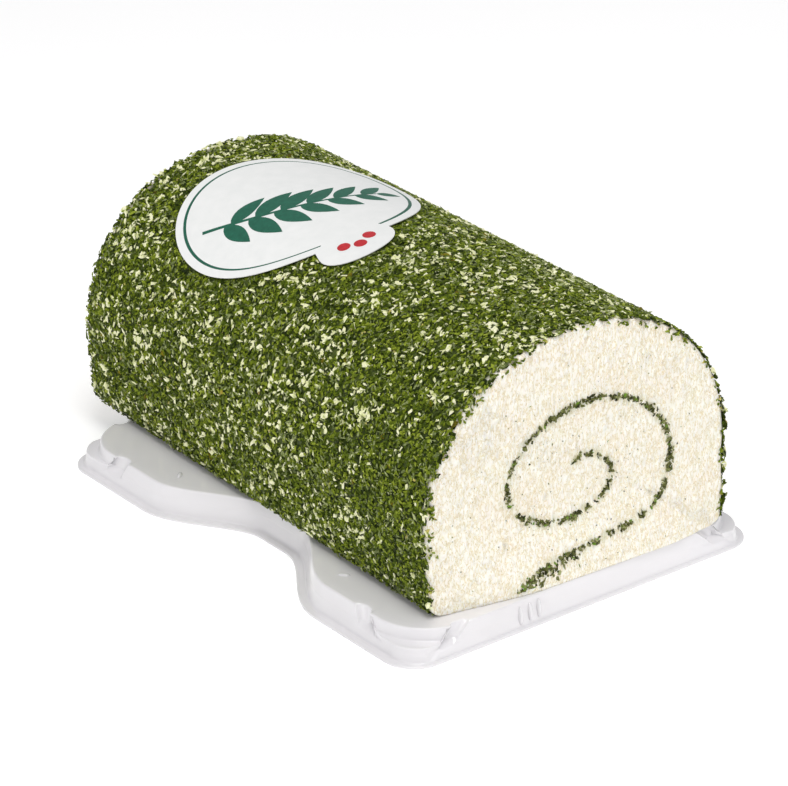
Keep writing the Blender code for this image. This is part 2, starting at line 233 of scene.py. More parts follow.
def add_piece(name, mesh, material, smooth=True):
    """Put a mesh in the scene as a piece that moves with the part."""
    piece = put_in_scene(name, mesh)
    mesh.materials.append(material)
    if smooth:
        mesh.shade_smooth()
    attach(piece, "root")
    print(name, len(mesh.vertices), "vertices", sum(len(p.vertices) - 2 for p in mesh.polygons), "triangles")
    return piece


def set_attribute(mesh, name, values):
    """Store one number for each vertex, for the material to read."""
    layer = mesh.attributes.new(name, "FLOAT", "POINT")
    layer.data.foreach_set("value", np.asarray(values, np.float32))


def smooth_step(value):
    t = np.clip(value, 0, 1)
    return t * t * (3 - 2 * t)


# %% Floor
FLOOR_HALF = 4.0
FLOOR_GLOW = 0.28

floor_mat, floor_shader = mottled_material("pale_paper_floor", 0.9, (3, 3, 3), 3.0, [
    (0.3, (0.95, 0.95, 0.95)), (0.7, (0.97, 0.97, 0.97)),
])
floor_shader.inputs["Emission Color"].default_value = (1.0, 1.0, 1.0, 1.0)
floor_shader.inputs["Emission Strength"].default_value = FLOOR_GLOW
floor_bm = bmesh.new()
bmesh.ops.create_grid(floor_bm, x_segments=1, y_segments=1, size=FLOOR_HALF)
floor = put_in_scene("floor", mesh_from(floor_bm, "floor"))
floor.data.materials.append(floor_mat)
floor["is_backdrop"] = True
print("floor, m across:", 2 * FLOOR_HALF)

# %% [markdown]
# ## The log's section
# Cut across, the log is a soft arch with a flat foot. One formula gives it: a superellipse, whose power says
# how square a shoulder is. We need it as a line to walk along, from the foot over the crown and back, because
# the coat and the label are laid out by the distance from the top of the crown.

# %% The section from the frame's sizes
cheese_low, cheese_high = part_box("cheese")
LOG_FRONT = cheese_low.y
LOG_REAR = cheese_high.y
LOG_CENTRE_X = (cheese_low.x + cheese_high.x) / 2
LOG_BASE = cheese_low.z
BELLY_HALF_WIDTH = (cheese_high.x - cheese_low.x) / 2
CROWN_HEIGHT = cheese_high.z - cheese_low.z
TRAY_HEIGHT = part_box("tray")[1].z
BELLY_HEIGHT = 22.0 * MM
LEFT_SHOULDER_POWER = 2.15
RIGHT_SHOULDER_POWER = 2.1
FOOT_POWER = 24.0
FOOT_TUCK = 0.04
SECTION_STEPS = 4000
SECTION_POINTS = 1200


def section_line(grow):
    """Distance from the top, X, Z and outward direction along the section, clockwise from the foot."""
    angle = -math.pi / 2 - 2 * math.pi * (np.arange(SECTION_STEPS) + 0.5) / SECTION_STEPS
    across = np.cos(angle)
    up = np.sin(angle)
    power = np.where(across > 0, RIGHT_SHOULDER_POWER, LEFT_SHOULDER_POWER)
    power = np.where(up < 0, FOOT_POWER, power)
    rise = np.where(up < 0, BELLY_HEIGHT, CROWN_HEIGHT - BELLY_HEIGHT)
    x = np.sign(across) * np.abs(across) ** (2 / power) * BELLY_HALF_WIDTH
    z = BELLY_HEIGHT + np.sign(up) * np.abs(up) ** (2 / power) * rise
    x *= 1 - FOOT_TUCK * np.clip(1 - z / BELLY_HEIGHT, 0, None) ** 2
    step = np.hypot(np.diff(x), np.diff(z))
    reach = np.concatenate(([0.0], np.cumsum(step)))
    even = np.linspace(0, reach[-1], SECTION_POINTS)
    x, z = np.interp(even, reach, x), np.interp(even, reach, z)
    out_x, out_z = -np.gradient(z), np.gradient(x)
    size = np.hypot(out_x, out_z)
    out_x, out_z = out_x / size, out_z / size
    x, z = x + out_x * grow, z + out_z * grow
    reach = np.concatenate(([0.0], np.cumsum(np.hypot(np.diff(x), np.diff(z)))))
    return reach - reach[np.argmax(z)], x + LOG_CENTRE_X, z + LOG_BASE, out_x, out_z


def on_section(line, arc, y, lift=0.0):
    """Places and outward directions on the log at these distances from the top of the crown."""
    reach, x, z, out_x, out_z = line
    turn = np.stack([np.interp(arc, reach, out_x), np.zeros_like(arc), np.interp(arc, reach, out_z)], -1)
    turn /= np.linalg.norm(turn, axis=-1, keepdims=True)
    place = np.stack([np.interp(arc, reach, x), y, np.interp(arc, reach, z)], -1)
    return place + turn * np.asarray(lift)[..., None], turn


# %% The ground that the leaves are pressed into
GROUND_GROW = 0.75 * MM
FOOT_SINK_HEIGHT = 4.0 * MM
RESTING_GAP = 0.05 * MM


def sink_foot(z):
    """The foot's lowest few millimetres, let down until they rest on the tray."""
    lowest = LOG_BASE - GROUND_GROW
    share = 1 - smooth_step((z - lowest) / FOOT_SINK_HEIGHT)
    return z - share * (lowest - TRAY_HEIGHT - RESTING_GAP)


ground_reach, ground_x, ground_z, *ground_facing = section_line(GROUND_GROW)
ground_line = (ground_reach, ground_x, sink_foot(ground_z), *ground_facing)
print("distance round the section, mm:", round((ground_reach[-1] - ground_reach[0]) / MM, 1))

# %% [markdown]
# ## A soft foot
# The cheese is soft, and its own weight pushes the front of the foot out until it reaches the tray's edge.
# One small rule tells how far each place has moved. The cheese, its leaves and its flecks all follow it.

# %% Slump
SLUMP_REACH = 4.4 * MM
SLUMP_HEIGHT = 24 * MM
SLUMP_DEPTH = 30 * MM
LEFT_EASE = 36 * MM
RIGHT_FIRMNESS = 0.45
RIGHT_EASE_START = 26 * MM
RIGHT_EASE = 22 * MM


def slumped(coords):
    """The same places, moved forward where the front of the foot has sagged."""
    x, y, z = (coords[..., axis] for axis in range(3))
    low = 1 - smooth_step((z - TRAY_HEIGHT) / SLUMP_HEIGHT)
    from_left = smooth_step((x - LOG_CENTRE_X + BELLY_HALF_WIDTH) / LEFT_EASE)
    from_right = 1 - RIGHT_FIRMNESS * smooth_step((x - LOG_CENTRE_X - RIGHT_EASE_START) / RIGHT_EASE)
    near = 1 - smooth_step((y - LOG_FRONT) / SLUMP_DEPTH)
    moved = coords.copy()
    moved[..., 1] -= SLUMP_REACH * low * from_left * from_right * near
    return moved


# %% [markdown]
# ## The path of the rolled-in herbs
# At the cut the rolled-in layer shows as a broken line that winds in to the middle. Its path follows a few
# stages, each with the roll's half-width and half-height at a turn, joined by smooth curves. We need it first
# of all, because the cheese is stained green beside it.

# %% The swirl's path
SWIRL_CENTRE_HEIGHT = 26.6 * MM
SWIRL_LOWEST = 0.3 * MM
SWIRL_SAMPLES = 2000
SWIRL_STAGES = np.array([
    (-0.40, 34.2, 45.0), (-0.33, 33.2, 25.9), (-0.25, 33.4, 19.9), (-0.12, 33.8, 21.4), (0.00, 31.0, 21.2),
    (0.25, 28.6, 21.0), (0.50, 24.2, 17.0), (0.75, 16.2, 10.6), (1.00, 10.2, 7.6), (1.34, 3.2, 4.8),
])


def swirl_path(count):
    """Places along the rolled-in layer as X and Z, evenly spaced from its outer end to its inner one."""
    turn = np.linspace(SWIRL_STAGES[0, 0], SWIRL_STAGES[-1, 0], 1500)
    slopes = np.gradient(SWIRL_STAGES[:, 1:], SWIRL_STAGES[:, 0], axis=0)
    index = np.clip(np.searchsorted(SWIRL_STAGES[:, 0], turn) - 1, 0, len(SWIRL_STAGES) - 2)
    start, end = SWIRL_STAGES[index], SWIRL_STAGES[index + 1]
    span = (end[:, 0] - start[:, 0])[:, None]
    t = (turn[:, None] - start[:, :1]) / span
    sizes = (2 * t ** 3 - 3 * t ** 2 + 1) * start[:, 1:] + (t ** 3 - 2 * t ** 2 + t) * slopes[index] * span
    sizes += (3 * t ** 2 - 2 * t ** 3) * end[:, 1:] + (t ** 3 - t ** 2) * slopes[index + 1] * span
    x = LOG_CENTRE_X + sizes[:, 0] * MM * np.cos(2 * math.pi * turn)
    z = LOG_BASE + SWIRL_CENTRE_HEIGHT + sizes[:, 1] * MM * np.sin(2 * math.pi * turn)
    inside = z > LOG_BASE + SWIRL_LOWEST
    x, z = x[inside], z[inside]
    reach = np.concatenate(([0.0], np.cumsum(np.hypot(np.diff(x), np.diff(z)))))
    even = np.linspace(0, reach[-1], count)
    return np.stack([np.interp(even, reach, x), np.interp(even, reach, z)], 1), reach[-1]


swirl_points, swirl_length = swirl_path(SWIRL_SAMPLES)
print("length of the swirl, mm:", round(swirl_length / MM))

# %% [markdown]
# ## The cream cheese
# Fresh cheese that is cut with a wire tears: the face is a field of small upright lumps with sharp creases
# between them. A bump map alone would leave the edge and the light flat, so the relief is in the mesh. A
# square grid is pushed into the section's form, once for each cut end, and the two are bridged. Each vertex
# then moves by the size of a noise that is stretched upright: where the noise crosses zero there is a crease.

# %% Squares pushed into a form
GRID_ACROSS = 240
GRID_UP = 172


def fit_square(bm, centre, outline):
    """Push a square of half size 1 into a closed outline. Gives each place and its ring's share."""
    out = outline - centre
    half = np.abs(out).max(0)
    angle = np.arctan2(out[:, 1] / half[1], out[:, 0] / half[0])
    order = np.argsort(angle)
    square = np.array([vert.co.xy for vert in bm.verts])
    ring = np.abs(square).max(1)
    asked = np.arctan2(square[:, 1], square[:, 0])
    edge_x = np.interp(asked, angle[order], out[order, 0], period=2 * np.pi)
    edge_y = np.interp(asked, angle[order], out[order, 1], period=2 * np.pi)
    return centre + np.stack([edge_x, edge_y], 1) * ring[:, None], ring


# %% Torn curd relief
LUMP_WIDTH = 1.15 * MM
LUMP_LENGTH = 3.6 * MM
GRAIN_SIZE = 0.9 * MM
SWELL_SIZE = 11 * MM
CREASE_WIDTH = 0.09
FACE_SETBACK = 0.5 * MM
BEND_SIZE = 4 * MM
BEND_REACH = 1.1 * MM
SWELL_HEIGHT = 0.35 * MM
LUMP_HEIGHT = 1.0 * MM
GRAIN_HEIGHT = 0.55 * MM
HIGHEST_VALUE = 0.4
LOWERED_BY = 0.32 * MM


def curd_relief(x, z, seed):
    """How far the torn curd stands out at a place on a cut face, and how much painted shade its fold gets."""
    away = seed * 7.3
    bend = BEND_REACH * noise.noise(Vector((x / BEND_SIZE, away + 3, z / BEND_SIZE)))
    swell = noise.noise(Vector((x / SWELL_SIZE, away, z / SWELL_SIZE)))
    lump = abs(noise.noise(Vector(((x + bend) / LUMP_WIDTH, away + 5, z / LUMP_LENGTH))))
    grain = abs(noise.noise(Vector((x / GRAIN_SIZE, away + 9, z / (1.5 * GRAIN_SIZE)))))
    raised = LUMP_HEIGHT * min(lump, HIGHEST_VALUE) + GRAIN_HEIGHT * min(grain, HIGHEST_VALUE)
    crease_shade = 0.6 * math.exp(-lump / CREASE_WIDTH) + 0.4 * math.exp(-grain / CREASE_WIDTH)
    return min(SWELL_HEIGHT * swell + raised - LOWERED_BY, FACE_SETBACK), crease_shade


# %% Herb stain beside the swirl
STAIN_REACH = 1.6 * MM
STAIN_PATCH_SIZE = 2.2 * MM
SIDE_STAIN = 0.22


def stain_near_swirl(places):
    """How green the cheese is beside the rolled-in herbs, from 0 to 1."""
    near = np.array([np.min(np.hypot(*(swirl_points[::5] - place).T)) for place in places])
    spots = places / STAIN_PATCH_SIZE
    patches = np.array([noise.noise(Vector((x, 2.0, z))) for x, z in spots])
    return np.clip(np.exp(-((near / STAIN_REACH) ** 2)) * (0.55 + 1.1 * patches), 0, 1)


# %% The cheese's mesh
FACE_EDGE_ROUNDING = 1.2 * MM
FOOT_ROUNDING_SHARE = 0.15
FOOT_ROUNDING_EASE = 6 * MM
FACE_MIDDLE_SHARE = 0.46
SIDE_RINGS = 14


def closer_at_ends(y, low, high):
    """Evenly spaced places along the log, drawn closer together towards both ends."""
    return low + (high - low) * (0.5 - 0.5 * math.cos(math.pi * (y - low) / (high - low)))


def cheese_mesh():
    outline = np.stack([ground_line[1], ground_line[2]], 1)
    centre = np.array([LOG_CENTRE_X, LOG_BASE + FACE_MIDDLE_SHARE * CROWN_HEIGHT])
    bm = bmesh.new()
    stain_layer = bm.verts.layers.float.new("herb_stain")
    crease_shade_layer = bm.verts.layers.float.new("crease_shade")
    juice_and_gap_shade_layer = bm.verts.layers.float.new("herb_juice_and_gap_shade")
    bmesh.ops.create_grid(bm, x_segments=GRID_ACROSS, y_segments=GRID_UP, size=1.0)
    fitted, ring = fit_square(bm, centre, outline)
    edge = np.clip((ring - 0.95) / 0.05, 0, 1)
    off_foot = smooth_step((fitted[:, 1] - TRAY_HEIGHT) / FOOT_ROUNDING_EASE)
    off_foot = FOOT_ROUNDING_SHARE + (1 - FOOT_ROUNDING_SHARE) * off_foot
    rounding = FACE_EDGE_ROUNDING * (1 - np.sqrt(1 - edge ** 2 * 0.98)) * off_foot
    relief_share = 1 - 0.8 * smooth_step((ring - 0.965) / 0.035)
    stain = stain_near_swirl(fitted)
    count = len(fitted)
    copy = bmesh.ops.duplicate(bm, geom=bm.verts[:] + bm.edges[:] + bm.faces[:])
    rear_verts = [g for g in copy["geom"] if isinstance(g, bmesh.types.BMVert)]
    rear_faces = [g for g in copy["geom"] if isinstance(g, bmesh.types.BMFace)]
    faces = ((1, bm.verts[:count], LOG_FRONT, -1), (2, rear_verts, LOG_REAR, 1))
    for seed, verts, plane, outward in faces:
        for vert, spot, back, share, green, rim in zip(verts, fitted, rounding, relief_share, stain, ring):
            height, crease_shade = curd_relief(spot[0], spot[1], seed)
            y = plane - outward * (FACE_SETBACK + back - height * share)
            vert.co = Vector((spot[0], y, spot[1]))
            vert[stain_layer] = SIDE_STAIN if rim > 0.999 else green
            vert[crease_shade_layer] = crease_shade * share
    bmesh.ops.reverse_faces(bm, faces=rear_faces)
    rims = [e for e in bm.edges if e.is_boundary]
    bridged = bmesh.ops.bridge_loops(bm, edges=rims)
    all_edges = {e for f in bridged["faces"] for e in f.edges}
    long_edges = [e for e in all_edges if abs(e.verts[0].co.y - e.verts[1].co.y) > 0.1]
    on_faces = len(bm.verts)
    bmesh.ops.subdivide_edges(bm, edges=long_edges, cuts=SIDE_RINGS, use_grid_fill=True)
    bm.verts.ensure_lookup_table()
    edge_depth = FACE_SETBACK + FACE_EDGE_ROUNDING
    # The sides are marked for their near-black green: herb juice stain, and painted shade in the gaps between
    # the leaves.
    for vert in bm.verts[on_faces:]:
        vert[juice_and_gap_shade_layer] = 1.0
        vert.co.y = closer_at_ends(vert.co.y, LOG_FRONT + edge_depth, LOG_REAR - edge_depth)
    for vert, place in zip(bm.verts, slumped(np.array([vert.co for vert in bm.verts]))):
        vert.co = Vector(place)
    bmesh.ops.recalc_face_normals(bm, faces=bm.faces)
    return mesh_from(bm, "cream_cheese")


# %% Cream cheese material
CREAM_SCATTER = 1.5 * MM


def cream_material():
    material, shader = new_material("torn_cream_cheese", 0.5)
    patches = noise_pattern(material, (75, 75, 75), 2.0)
    base = colour_ramp(material, patches, [
        (0.32, (0.985, 0.93, 0.84)), (0.46, (0.99, 0.955, 0.875)), (0.56, (0.99, 0.965, 0.89)),
        (0.72, (0.985, 0.965, 0.85)),
    ])
    # Painted shade: the folds of the torn noise darken the cream towards a warm brown. The same folds drive
    # the bump.
    torn = noise_pattern(material, (1000, 1000, 360), 3.0, 0.62)
    folds = calculate(material, "ABSOLUTE", calculate(material, "SUBTRACT", torn, 0.5), 0.0)
    painted_fold_shade = colour_ramp(material, folds, [
        (0.0, (0.64, 0.53, 0.30)), (0.025, (0.88, 0.83, 0.68)), (0.06, (1.0, 1.0, 1.0)),
    ])
    cream = mix_colours(material, 0.85, base, painted_fold_shade, "MULTIPLY")
    # Painted shade: the mesh's creases are darkened to a warm brown, read from the vertex attribute.
    crease_shade = calculate(material, "MULTIPLY", read_attribute(material, "crease_shade"), 0.4)
    crease_shaded = mix_colours(material, crease_shade, cream, (0.86, 0.77, 0.54, 1.0))
    stain = calculate(material, "MULTIPLY", read_attribute(material, "herb_stain"), 0.5)
    stained = mix_colours(material, stain, crease_shaded, (0.42, 0.44, 0.22, 1.0))
    # Near-black green of the sides under the coat: partly herb juice stain, partly painted shade in the gaps
    # between the leaves.
    juice_and_gap_shade_colour = colour_ramp(material, noise_pattern(material, (900, 900, 900), 2.0), [
        (0.35, (0.022, 0.036, 0.003)), (0.65, (0.075, 0.105, 0.012)),
    ])
    coloured = mix_colours(material, read_attribute(material, "herb_juice_and_gap_shade"), stained, juice_and_gap_shade_colour)
    join(material, coloured, shader.inputs["Base Color"])
    shader.inputs["Subsurface Weight"].default_value = 0.12
    shader.inputs["Subsurface Radius"].default_value = (1.0, 0.75, 0.45)
    shader.inputs["Subsurface Scale"].default_value = CREAM_SCATTER
    shader.inputs["Specular IOR Level"].default_value = 0.35
    add_bump(material, shader, folds, 0.5 * MM, 1.0)
    return material


cheese = add_piece("cream_cheese_roll", cheese_mesh(), cream_material())
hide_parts("cheese")

# %% [markdown]
# ## Chopped leaves
# The coat is herbs, chopped to bits of one to two millimetres and pressed on while the cheese is soft. A
# texture would give a smooth outline, so every bit is real. A flat five-sided cone is made with one operator,
# and its corners are moved to get sixteen ragged shapes. Tens of thousands of copies are then laid out in one
# array for each kind of leaf, because one joined mesh is much faster than as many objects.

# %% One blade and its ragged shapes
LEAF_SHAPES = 16
LEAF_CORNERS = 5


def mesh_arrays(bm):
    """A small mesh as an array of places and an array of triangles."""
    bmesh.ops.triangulate(bm, faces=bm.faces[:])
    bmesh.ops.recalc_face_normals(bm, faces=bm.faces)
    bm.verts.index_update()
    places = np.array([vert.co for vert in bm.verts])
    triangles = np.array([[vert.index for vert in face.verts] for face in bm.faces])
    bm.free()
    return places, triangles


def ragged_blades(rng):
    """Chopped bits of leaf about 1 long: flat below, ridged above."""
    bm = bmesh.new()
    bmesh.ops.create_cone(bm, cap_ends=True, segments=LEAF_CORNERS, radius1=0.5, radius2=0.0, depth=0.22)
    places, triangles = mesh_arrays(bm)
    rim = np.hypot(places[:, 0], places[:, 1]) > 0.25
    shapes = []
    for _ in range(LEAF_SHAPES):
        shape = places.copy()
        shape[rim, :2] *= rng.uniform(0.5, 1.4, (rim.sum(), 1))
        shape[~rim, :2] += rng.uniform(-0.22, 0.22, 2)
        shape[:, 1] *= rng.uniform(0.5, 0.85)
        curl, fold = rng.uniform(-0.3, 0.3), rng.uniform(-0.35, 0.35)
        shape[:, 2] += curl * shape[:, 0] ** 2 + fold * np.abs(shape[:, 1])
        shapes.append(shape - shape.mean(0))
    return np.array(shapes), triangles


# %% Many copies in one mesh
def copies_mesh(name, template, middles, turns, sizes, tones, rng):
    """Copies of the shapes at these places, turned and sized, with a tone for each in an attribute."""
    shapes, triangles = template
    picked = shapes[rng.integers(0, len(shapes), len(middles))] * sizes[:, None, :]
    coords = np.einsum("nvk,nkj->nvj", picked, turns) + middles[:, None, :]
    coords[..., 1] = np.clip(coords[..., 1], LOG_FRONT - 0.9 * MM, LOG_REAR)
    coords[..., 2] = np.clip(coords[..., 2], TRAY_HEIGHT + RESTING_GAP, cad_box[1][2] - RESTING_GAP)
    coords = slumped(coords)
    first = np.arange(len(middles))[:, None, None] * shapes.shape[1]
    mesh = bpy.data.meshes.new(name)
    mesh.from_pydata(coords.reshape(-1, 3), [], (triangles[None] + first).reshape(-1, 3))
    set_attribute(mesh, "leaf_tone", np.repeat(tones, shapes.shape[1]))
    return mesh


def turned_frames(outward, rng, tilt):
    """For each outward direction, a frame turned freely about it and tipped by up to a tilt."""
    count = len(outward)
    spin = rng.uniform(0, 2 * math.pi, count)
    guide = np.where(np.abs(outward[:, 1:2]) > 0.7, [[1.0, 0.0, 0.0]], [[0.0, 1.0, 0.0]])
    side = np.cross(outward, guide)
    side /= np.linalg.norm(side, axis=1, keepdims=True)
    along = np.cross(outward, side)
    first = side * np.cos(spin)[:, None] + along * np.sin(spin)[:, None]
    second = np.cross(outward, first)
    lean = np.tan(rng.normal(0, tilt, (2, count)))
    up = outward + first * lean[0][:, None] + second * lean[1][:, None]
    up /= np.linalg.norm(up, axis=1, keepdims=True)
    first -= up * np.sum(first * up, 1)[:, None]
    first /= np.linalg.norm(first, axis=1, keepdims=True)
    return np.stack([first, np.cross(up, first), up], 1)


# %% [markdown]
# ## Where the label lies
# The label is a turned oval with a small tab, cut from one sheet. Its outline is needed before the herbs are
# laid, because leaves under the paper lie flat. It is measured on the crown: across is the distance from the
# top of the crown, and along is the distance down the log.

# %% The label's outline
LABEL_CENTRE_ARC = -11.5 * MM
LABEL_CENTRE_Y = LOG_FRONT + 115.6 * MM
LABEL_HALF = (36.0 * MM, 30.6 * MM)
LABEL_TURN = math.radians(-40)
TAB_CENTRE = (-2.6 * MM, -33.6 * MM)
TAB_HALF = (11.8 * MM, 8.6 * MM)


def oval_reach(angle, centre, half):
    """How far an oval's far side lies from the label's centre in each direction, or 0 if it is missed."""
    step_x, step_y = np.cos(angle) / half[0], np.sin(angle) / half[1]
    mid_x, mid_y = centre[0] / half[0], centre[1] / half[1]
    size = step_x ** 2 + step_y ** 2
    half_sum = step_x * mid_x + step_y * mid_y
    inside = half_sum ** 2 - size * (mid_x ** 2 + mid_y ** 2 - 1)
    return np.where(inside < 0, 0.0, (half_sum + np.sqrt(np.maximum(inside, 0))) / size)


def main_oval_reach(angle):
    return oval_reach(angle - LABEL_TURN, (0.0, 0.0), LABEL_HALF)


def label_reach(angle):
    return np.maximum(main_oval_reach(angle), oval_reach(angle, TAB_CENTRE, TAB_HALF))


def past_label(arc, y):
    """How far each place lies outside the label's outline. It is negative under the label."""
    across, along = arc - LABEL_CENTRE_ARC, y - LABEL_CENTRE_Y
    return np.hypot(across, along) - label_reach(np.arctan2(along, across))


# %% [markdown]
# ## Laying the coat
# Leaves are dropped at random, round the whole log: large dark ones that lie flat, small ones in four greens,
# and a few large olive ones. Real herbs cling in patches and leave bare spots where the cheese shows, so the
# same noise thins them all out. Near the cut ends the coat breaks off raggedly, a little way from the edge.

# %% Random places round the log
ARC_LOW, ARC_HIGH = ground_line[0][0], ground_line[0][-1]
FOOT_ARC = 99.0 * MM
BARE_ABOVE = 0.33
UNDER_LABEL_EDGE = 4 * MM


def patchiness(arc, y, size, seed):
    """A cloudy value, about -0.5 to 0.5, over the log's surface."""
    return np.array([noise.noise(Vector((a / size, b / size, seed))) for a, b in zip(arc, y)])


def bareness(arc, y):
    """High where the coat is thin: small spots, gathered in larger patches."""
    spots = patchiness(arc, y, 1.9 * MM, 1.0) + 0.5 * patchiness(arc, y, 0.9 * MM, 4.0)
    return spots + 0.35 * patchiness(arc, y, 13 * MM, 6.0)


def coat_places(rng, dropped, low=-9.0, high=BARE_ABOVE):
    """Random places on the coat whose bareness lies in a range, thinned at the ends and under the foot."""
    arc = rng.uniform(ARC_LOW, ARC_HIGH, dropped)
    y = rng.uniform(LOG_FRONT - 0.3 * MM, LOG_REAR - 0.5 * MM, dropped)
    bare = bareness(arc, y) + rng.normal(0, 0.05, dropped)
    on_foot = np.abs(arc) > FOOT_ARC
    ragged = (0.5 + 2.6 * patchiness(arc, np.full(dropped, 0.0), 3.2 * MM, 9.0)) * MM + on_foot * 2.0 * MM
    keep = (bare > low) & (bare < high) & (y - LOG_FRONT > ragged) & (LOG_REAR - y > ragged)
    keep &= ~on_foot | (rng.uniform(0, 1, dropped) < 0.4)
    keep &= past_label(arc, y) > -UNDER_LABEL_EDGE
    return arc[keep], y[keep]


# %% Leaf materials
def leaf_material(name, dark, middle, light, rare, roughness):
    """Chopped leaf: each bit has its own tone, mottled with finer spots and faint veins."""
    material, shader = new_material(name, roughness)
    mottle = noise_pattern(material, (2600, 2600, 2600), 2.0)
    spread = calculate(material, "MULTIPLY", calculate(material, "SUBTRACT", mottle, 0.5), 0.8)
    value = calculate(material, "ADD", read_attribute(material, "leaf_tone"), spread)
    stops = [(0.05, dark), (0.35, middle), (0.65, light), (0.8, light), (0.95, rare)]
    join(material, colour_ramp(material, value, stops), shader.inputs["Base Color"])
    shader.inputs["Specular IOR Level"].default_value = 0.1
    veins = noise_pattern(material, (3400, 3400, 3400), 2.0, 0.6)
    add_bump(material, shader, veins, 0.12 * MM, 0.5)
    return material


# %% The kinds of leaf
leaf_template = ragged_blades(np.random.default_rng(5))
LEAF_KINDS = (
    # name, dropped, seed, lengths in mm, widths as a share, heights in mm, tilt, middle tone, colours
    ("pressed_parsley", 17000, 1, (1.8, 2.5, 3.4), (0.65, 1.0), (0.02, 0.15), 4, 0.20,
     ((0.011, 0.020, 0.001), (0.052, 0.078, 0.004), (0.125, 0.165, 0.012), (0.125, 0.165, 0.012))),
    ("dark_parsley", 30000, 2, (0.9, 1.4, 2.4), (0.6, 1.0), (0.10, 0.50), 13, 0.28,
     ((0.014, 0.027, 0.001), (0.078, 0.116, 0.006), (0.190, 0.240, 0.020), (0.42, 0.34, 0.12))),
    ("green_parsley", 30000, 3, (0.9, 1.3, 2.2), (0.6, 1.0), (0.15, 0.55), 14, 0.33,
     ((0.040, 0.070, 0.003), (0.148, 0.198, 0.010), (0.310, 0.380, 0.040), (0.55, 0.48, 0.14))),
    ("bright_parsley", 15500, 4, (0.7, 1.15, 2.0), (0.55, 1.0), (0.20, 0.60), 17, 0.34,
     ((0.085, 0.125, 0.005), (0.220, 0.275, 0.018), (0.430, 0.490, 0.080), (0.66, 0.58, 0.26))),
    ("pale_slivers", 18000, 5, (1.1, 1.7, 2.8), (0.18, 0.5), (0.15, 0.60), 16, 0.36,
     ((0.075, 0.100, 0.032), (0.220, 0.262, 0.095), (0.470, 0.520, 0.250), (0.70, 0.70, 0.42))),
    ("olive_parsley", 110, 6, (2.2, 2.9, 3.8), (0.6, 0.95), (0.25, 0.50), 8, 0.35,
     ((0.040, 0.038, 0.001), (0.150, 0.125, 0.005), (0.290, 0.240, 0.015), (0.42, 0.34, 0.05))),
)
RARE_SHARE = 0.005


def lay_leaves(name, dropped, seed, lengths, widths, heights, tilt, middle_tone, colours):
    rng = np.random.default_rng(seed)
    arc, y = coat_places(rng, dropped)
    count = len(arc)
    under = past_label(arc, y) < 0.6 * MM
    height = rng.uniform(*heights, count) * np.where(under, 0.4, 1.0) * MM
    middles, outward = on_section(ground_line, arc, y, height)
    turns = turned_frames(outward, rng, math.radians(tilt) * np.where(under, 0.3, 1.0))
    length = rng.triangular(*lengths, count) * MM
    sizes = np.stack([length, length * rng.uniform(*widths, count), length], 1)
    patch = 0.16 * patchiness(arc, y, 7 * MM, seed + 20.0)
    tones = np.clip(rng.normal(middle_tone, 0.13, count) + patch, 0.0, 0.62)
    tones[rng.uniform(0, 1, count) < RARE_SHARE] = 1.0
    mesh = copies_mesh(name, leaf_template, middles, turns, sizes, tones, rng)
    return add_piece(name, mesh, leaf_material(name, *colours, 0.5), smooth=False)


leaf_pieces = [lay_leaves(*kind) for kind in LEAF_KINDS]
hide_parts("herb_coat")

# %% [markdown]
# ## Cream smears in the coat
# Small smears of cheese come up between the leaves and catch the light. They start from a twenty-sided ball,
# pulled out to a ragged star and pressed flat. They gather where the coat is thin, by the same noise as
# before, and the sides have fewer of them near the front.

# %% Smears
SMEARS_DROPPED = 50000
SMEARS_LOST_AT_FRONT = 0.65
FEWER_SMEARS_DEPTH = 80 * MM
FEWER_SMEARS_ARC = 20 * MM
STRAY_SMEARS_DROPPED = 1500


def ragged_stars(rng):
    """Smears about 1 long: ragged stars from a coarse ball."""
    bm = bmesh.new()
    bmesh.ops.create_icosphere(bm, subdivisions=1, radius=0.5)
    places, triangles = mesh_arrays(bm)
    shapes = [places * rng.uniform(0.25, 1.9, (len(places), 1)) for _ in range(LEAF_SHAPES)]
    return np.array(shapes), triangles


def smear_material():
    material, shader = mottled_material("herb_stained_cream", 0.45, (800, 800, 800), 2.0, [
        (0.30, (0.50, 0.55, 0.18)), (0.44, (0.80, 0.82, 0.44)), (0.62, (0.94, 0.93, 0.66)),
    ])
    add_bump(material, shader, noise_pattern(material, (2600, 2600, 2600)), 0.2 * MM, 0.6)
    return material


def lay_smears():
    rng = np.random.default_rng(21)
    gathered = coat_places(rng, SMEARS_DROPPED, BARE_ABOVE - 0.03, 9.0)
    stray = coat_places(rng, STRAY_SMEARS_DROPPED)
    arc, y = (np.concatenate(pair) for pair in zip(gathered, stray))
    clear = (past_label(arc, y) > 1 * MM) & (np.abs(arc) < FOOT_ARC)
    lost = SMEARS_LOST_AT_FRONT * smooth_step(1 - (y - LOG_FRONT) / FEWER_SMEARS_DEPTH)
    lost *= smooth_step(np.abs(arc) / FEWER_SMEARS_ARC - 1)
    clear &= rng.uniform(0, 1, len(y)) > lost
    arc, y = arc[clear], y[clear]
    count = len(arc)
    middles, outward = on_section(ground_line, arc, y, rng.uniform(0.15, 0.5, count) * MM)
    turns = turned_frames(outward, rng, math.radians(20))
    length = rng.triangular(0.7, 1.1, 2.4, count) * MM
    sizes = np.stack([length, length * rng.uniform(0.3, 0.75, count), np.full(count, 0.4 * MM)], 1)
    template = ragged_stars(rng)
    mesh = copies_mesh("cream_smears", template, middles, turns, sizes, rng.uniform(0, 1, count), rng)
    return add_piece("cream_smears", mesh, smear_material(), smooth=False)


lay_smears()

# %% [markdown]
# ## The rolled-in herbs
# A thin sheet of herbs runs through the whole log, to just behind each cut face. It is a line of edges drawn
# out along the log and given a thickness. Loose flecks sit along its ends, where the wire has dragged them
# about, and a few strays lie all over the face.

# %% The sheet that runs through
SHEET_END_DEPTH = 1.5 * MM
SHEET_THICKNESS = 0.9 * MM
SHEET_POINTS = 140


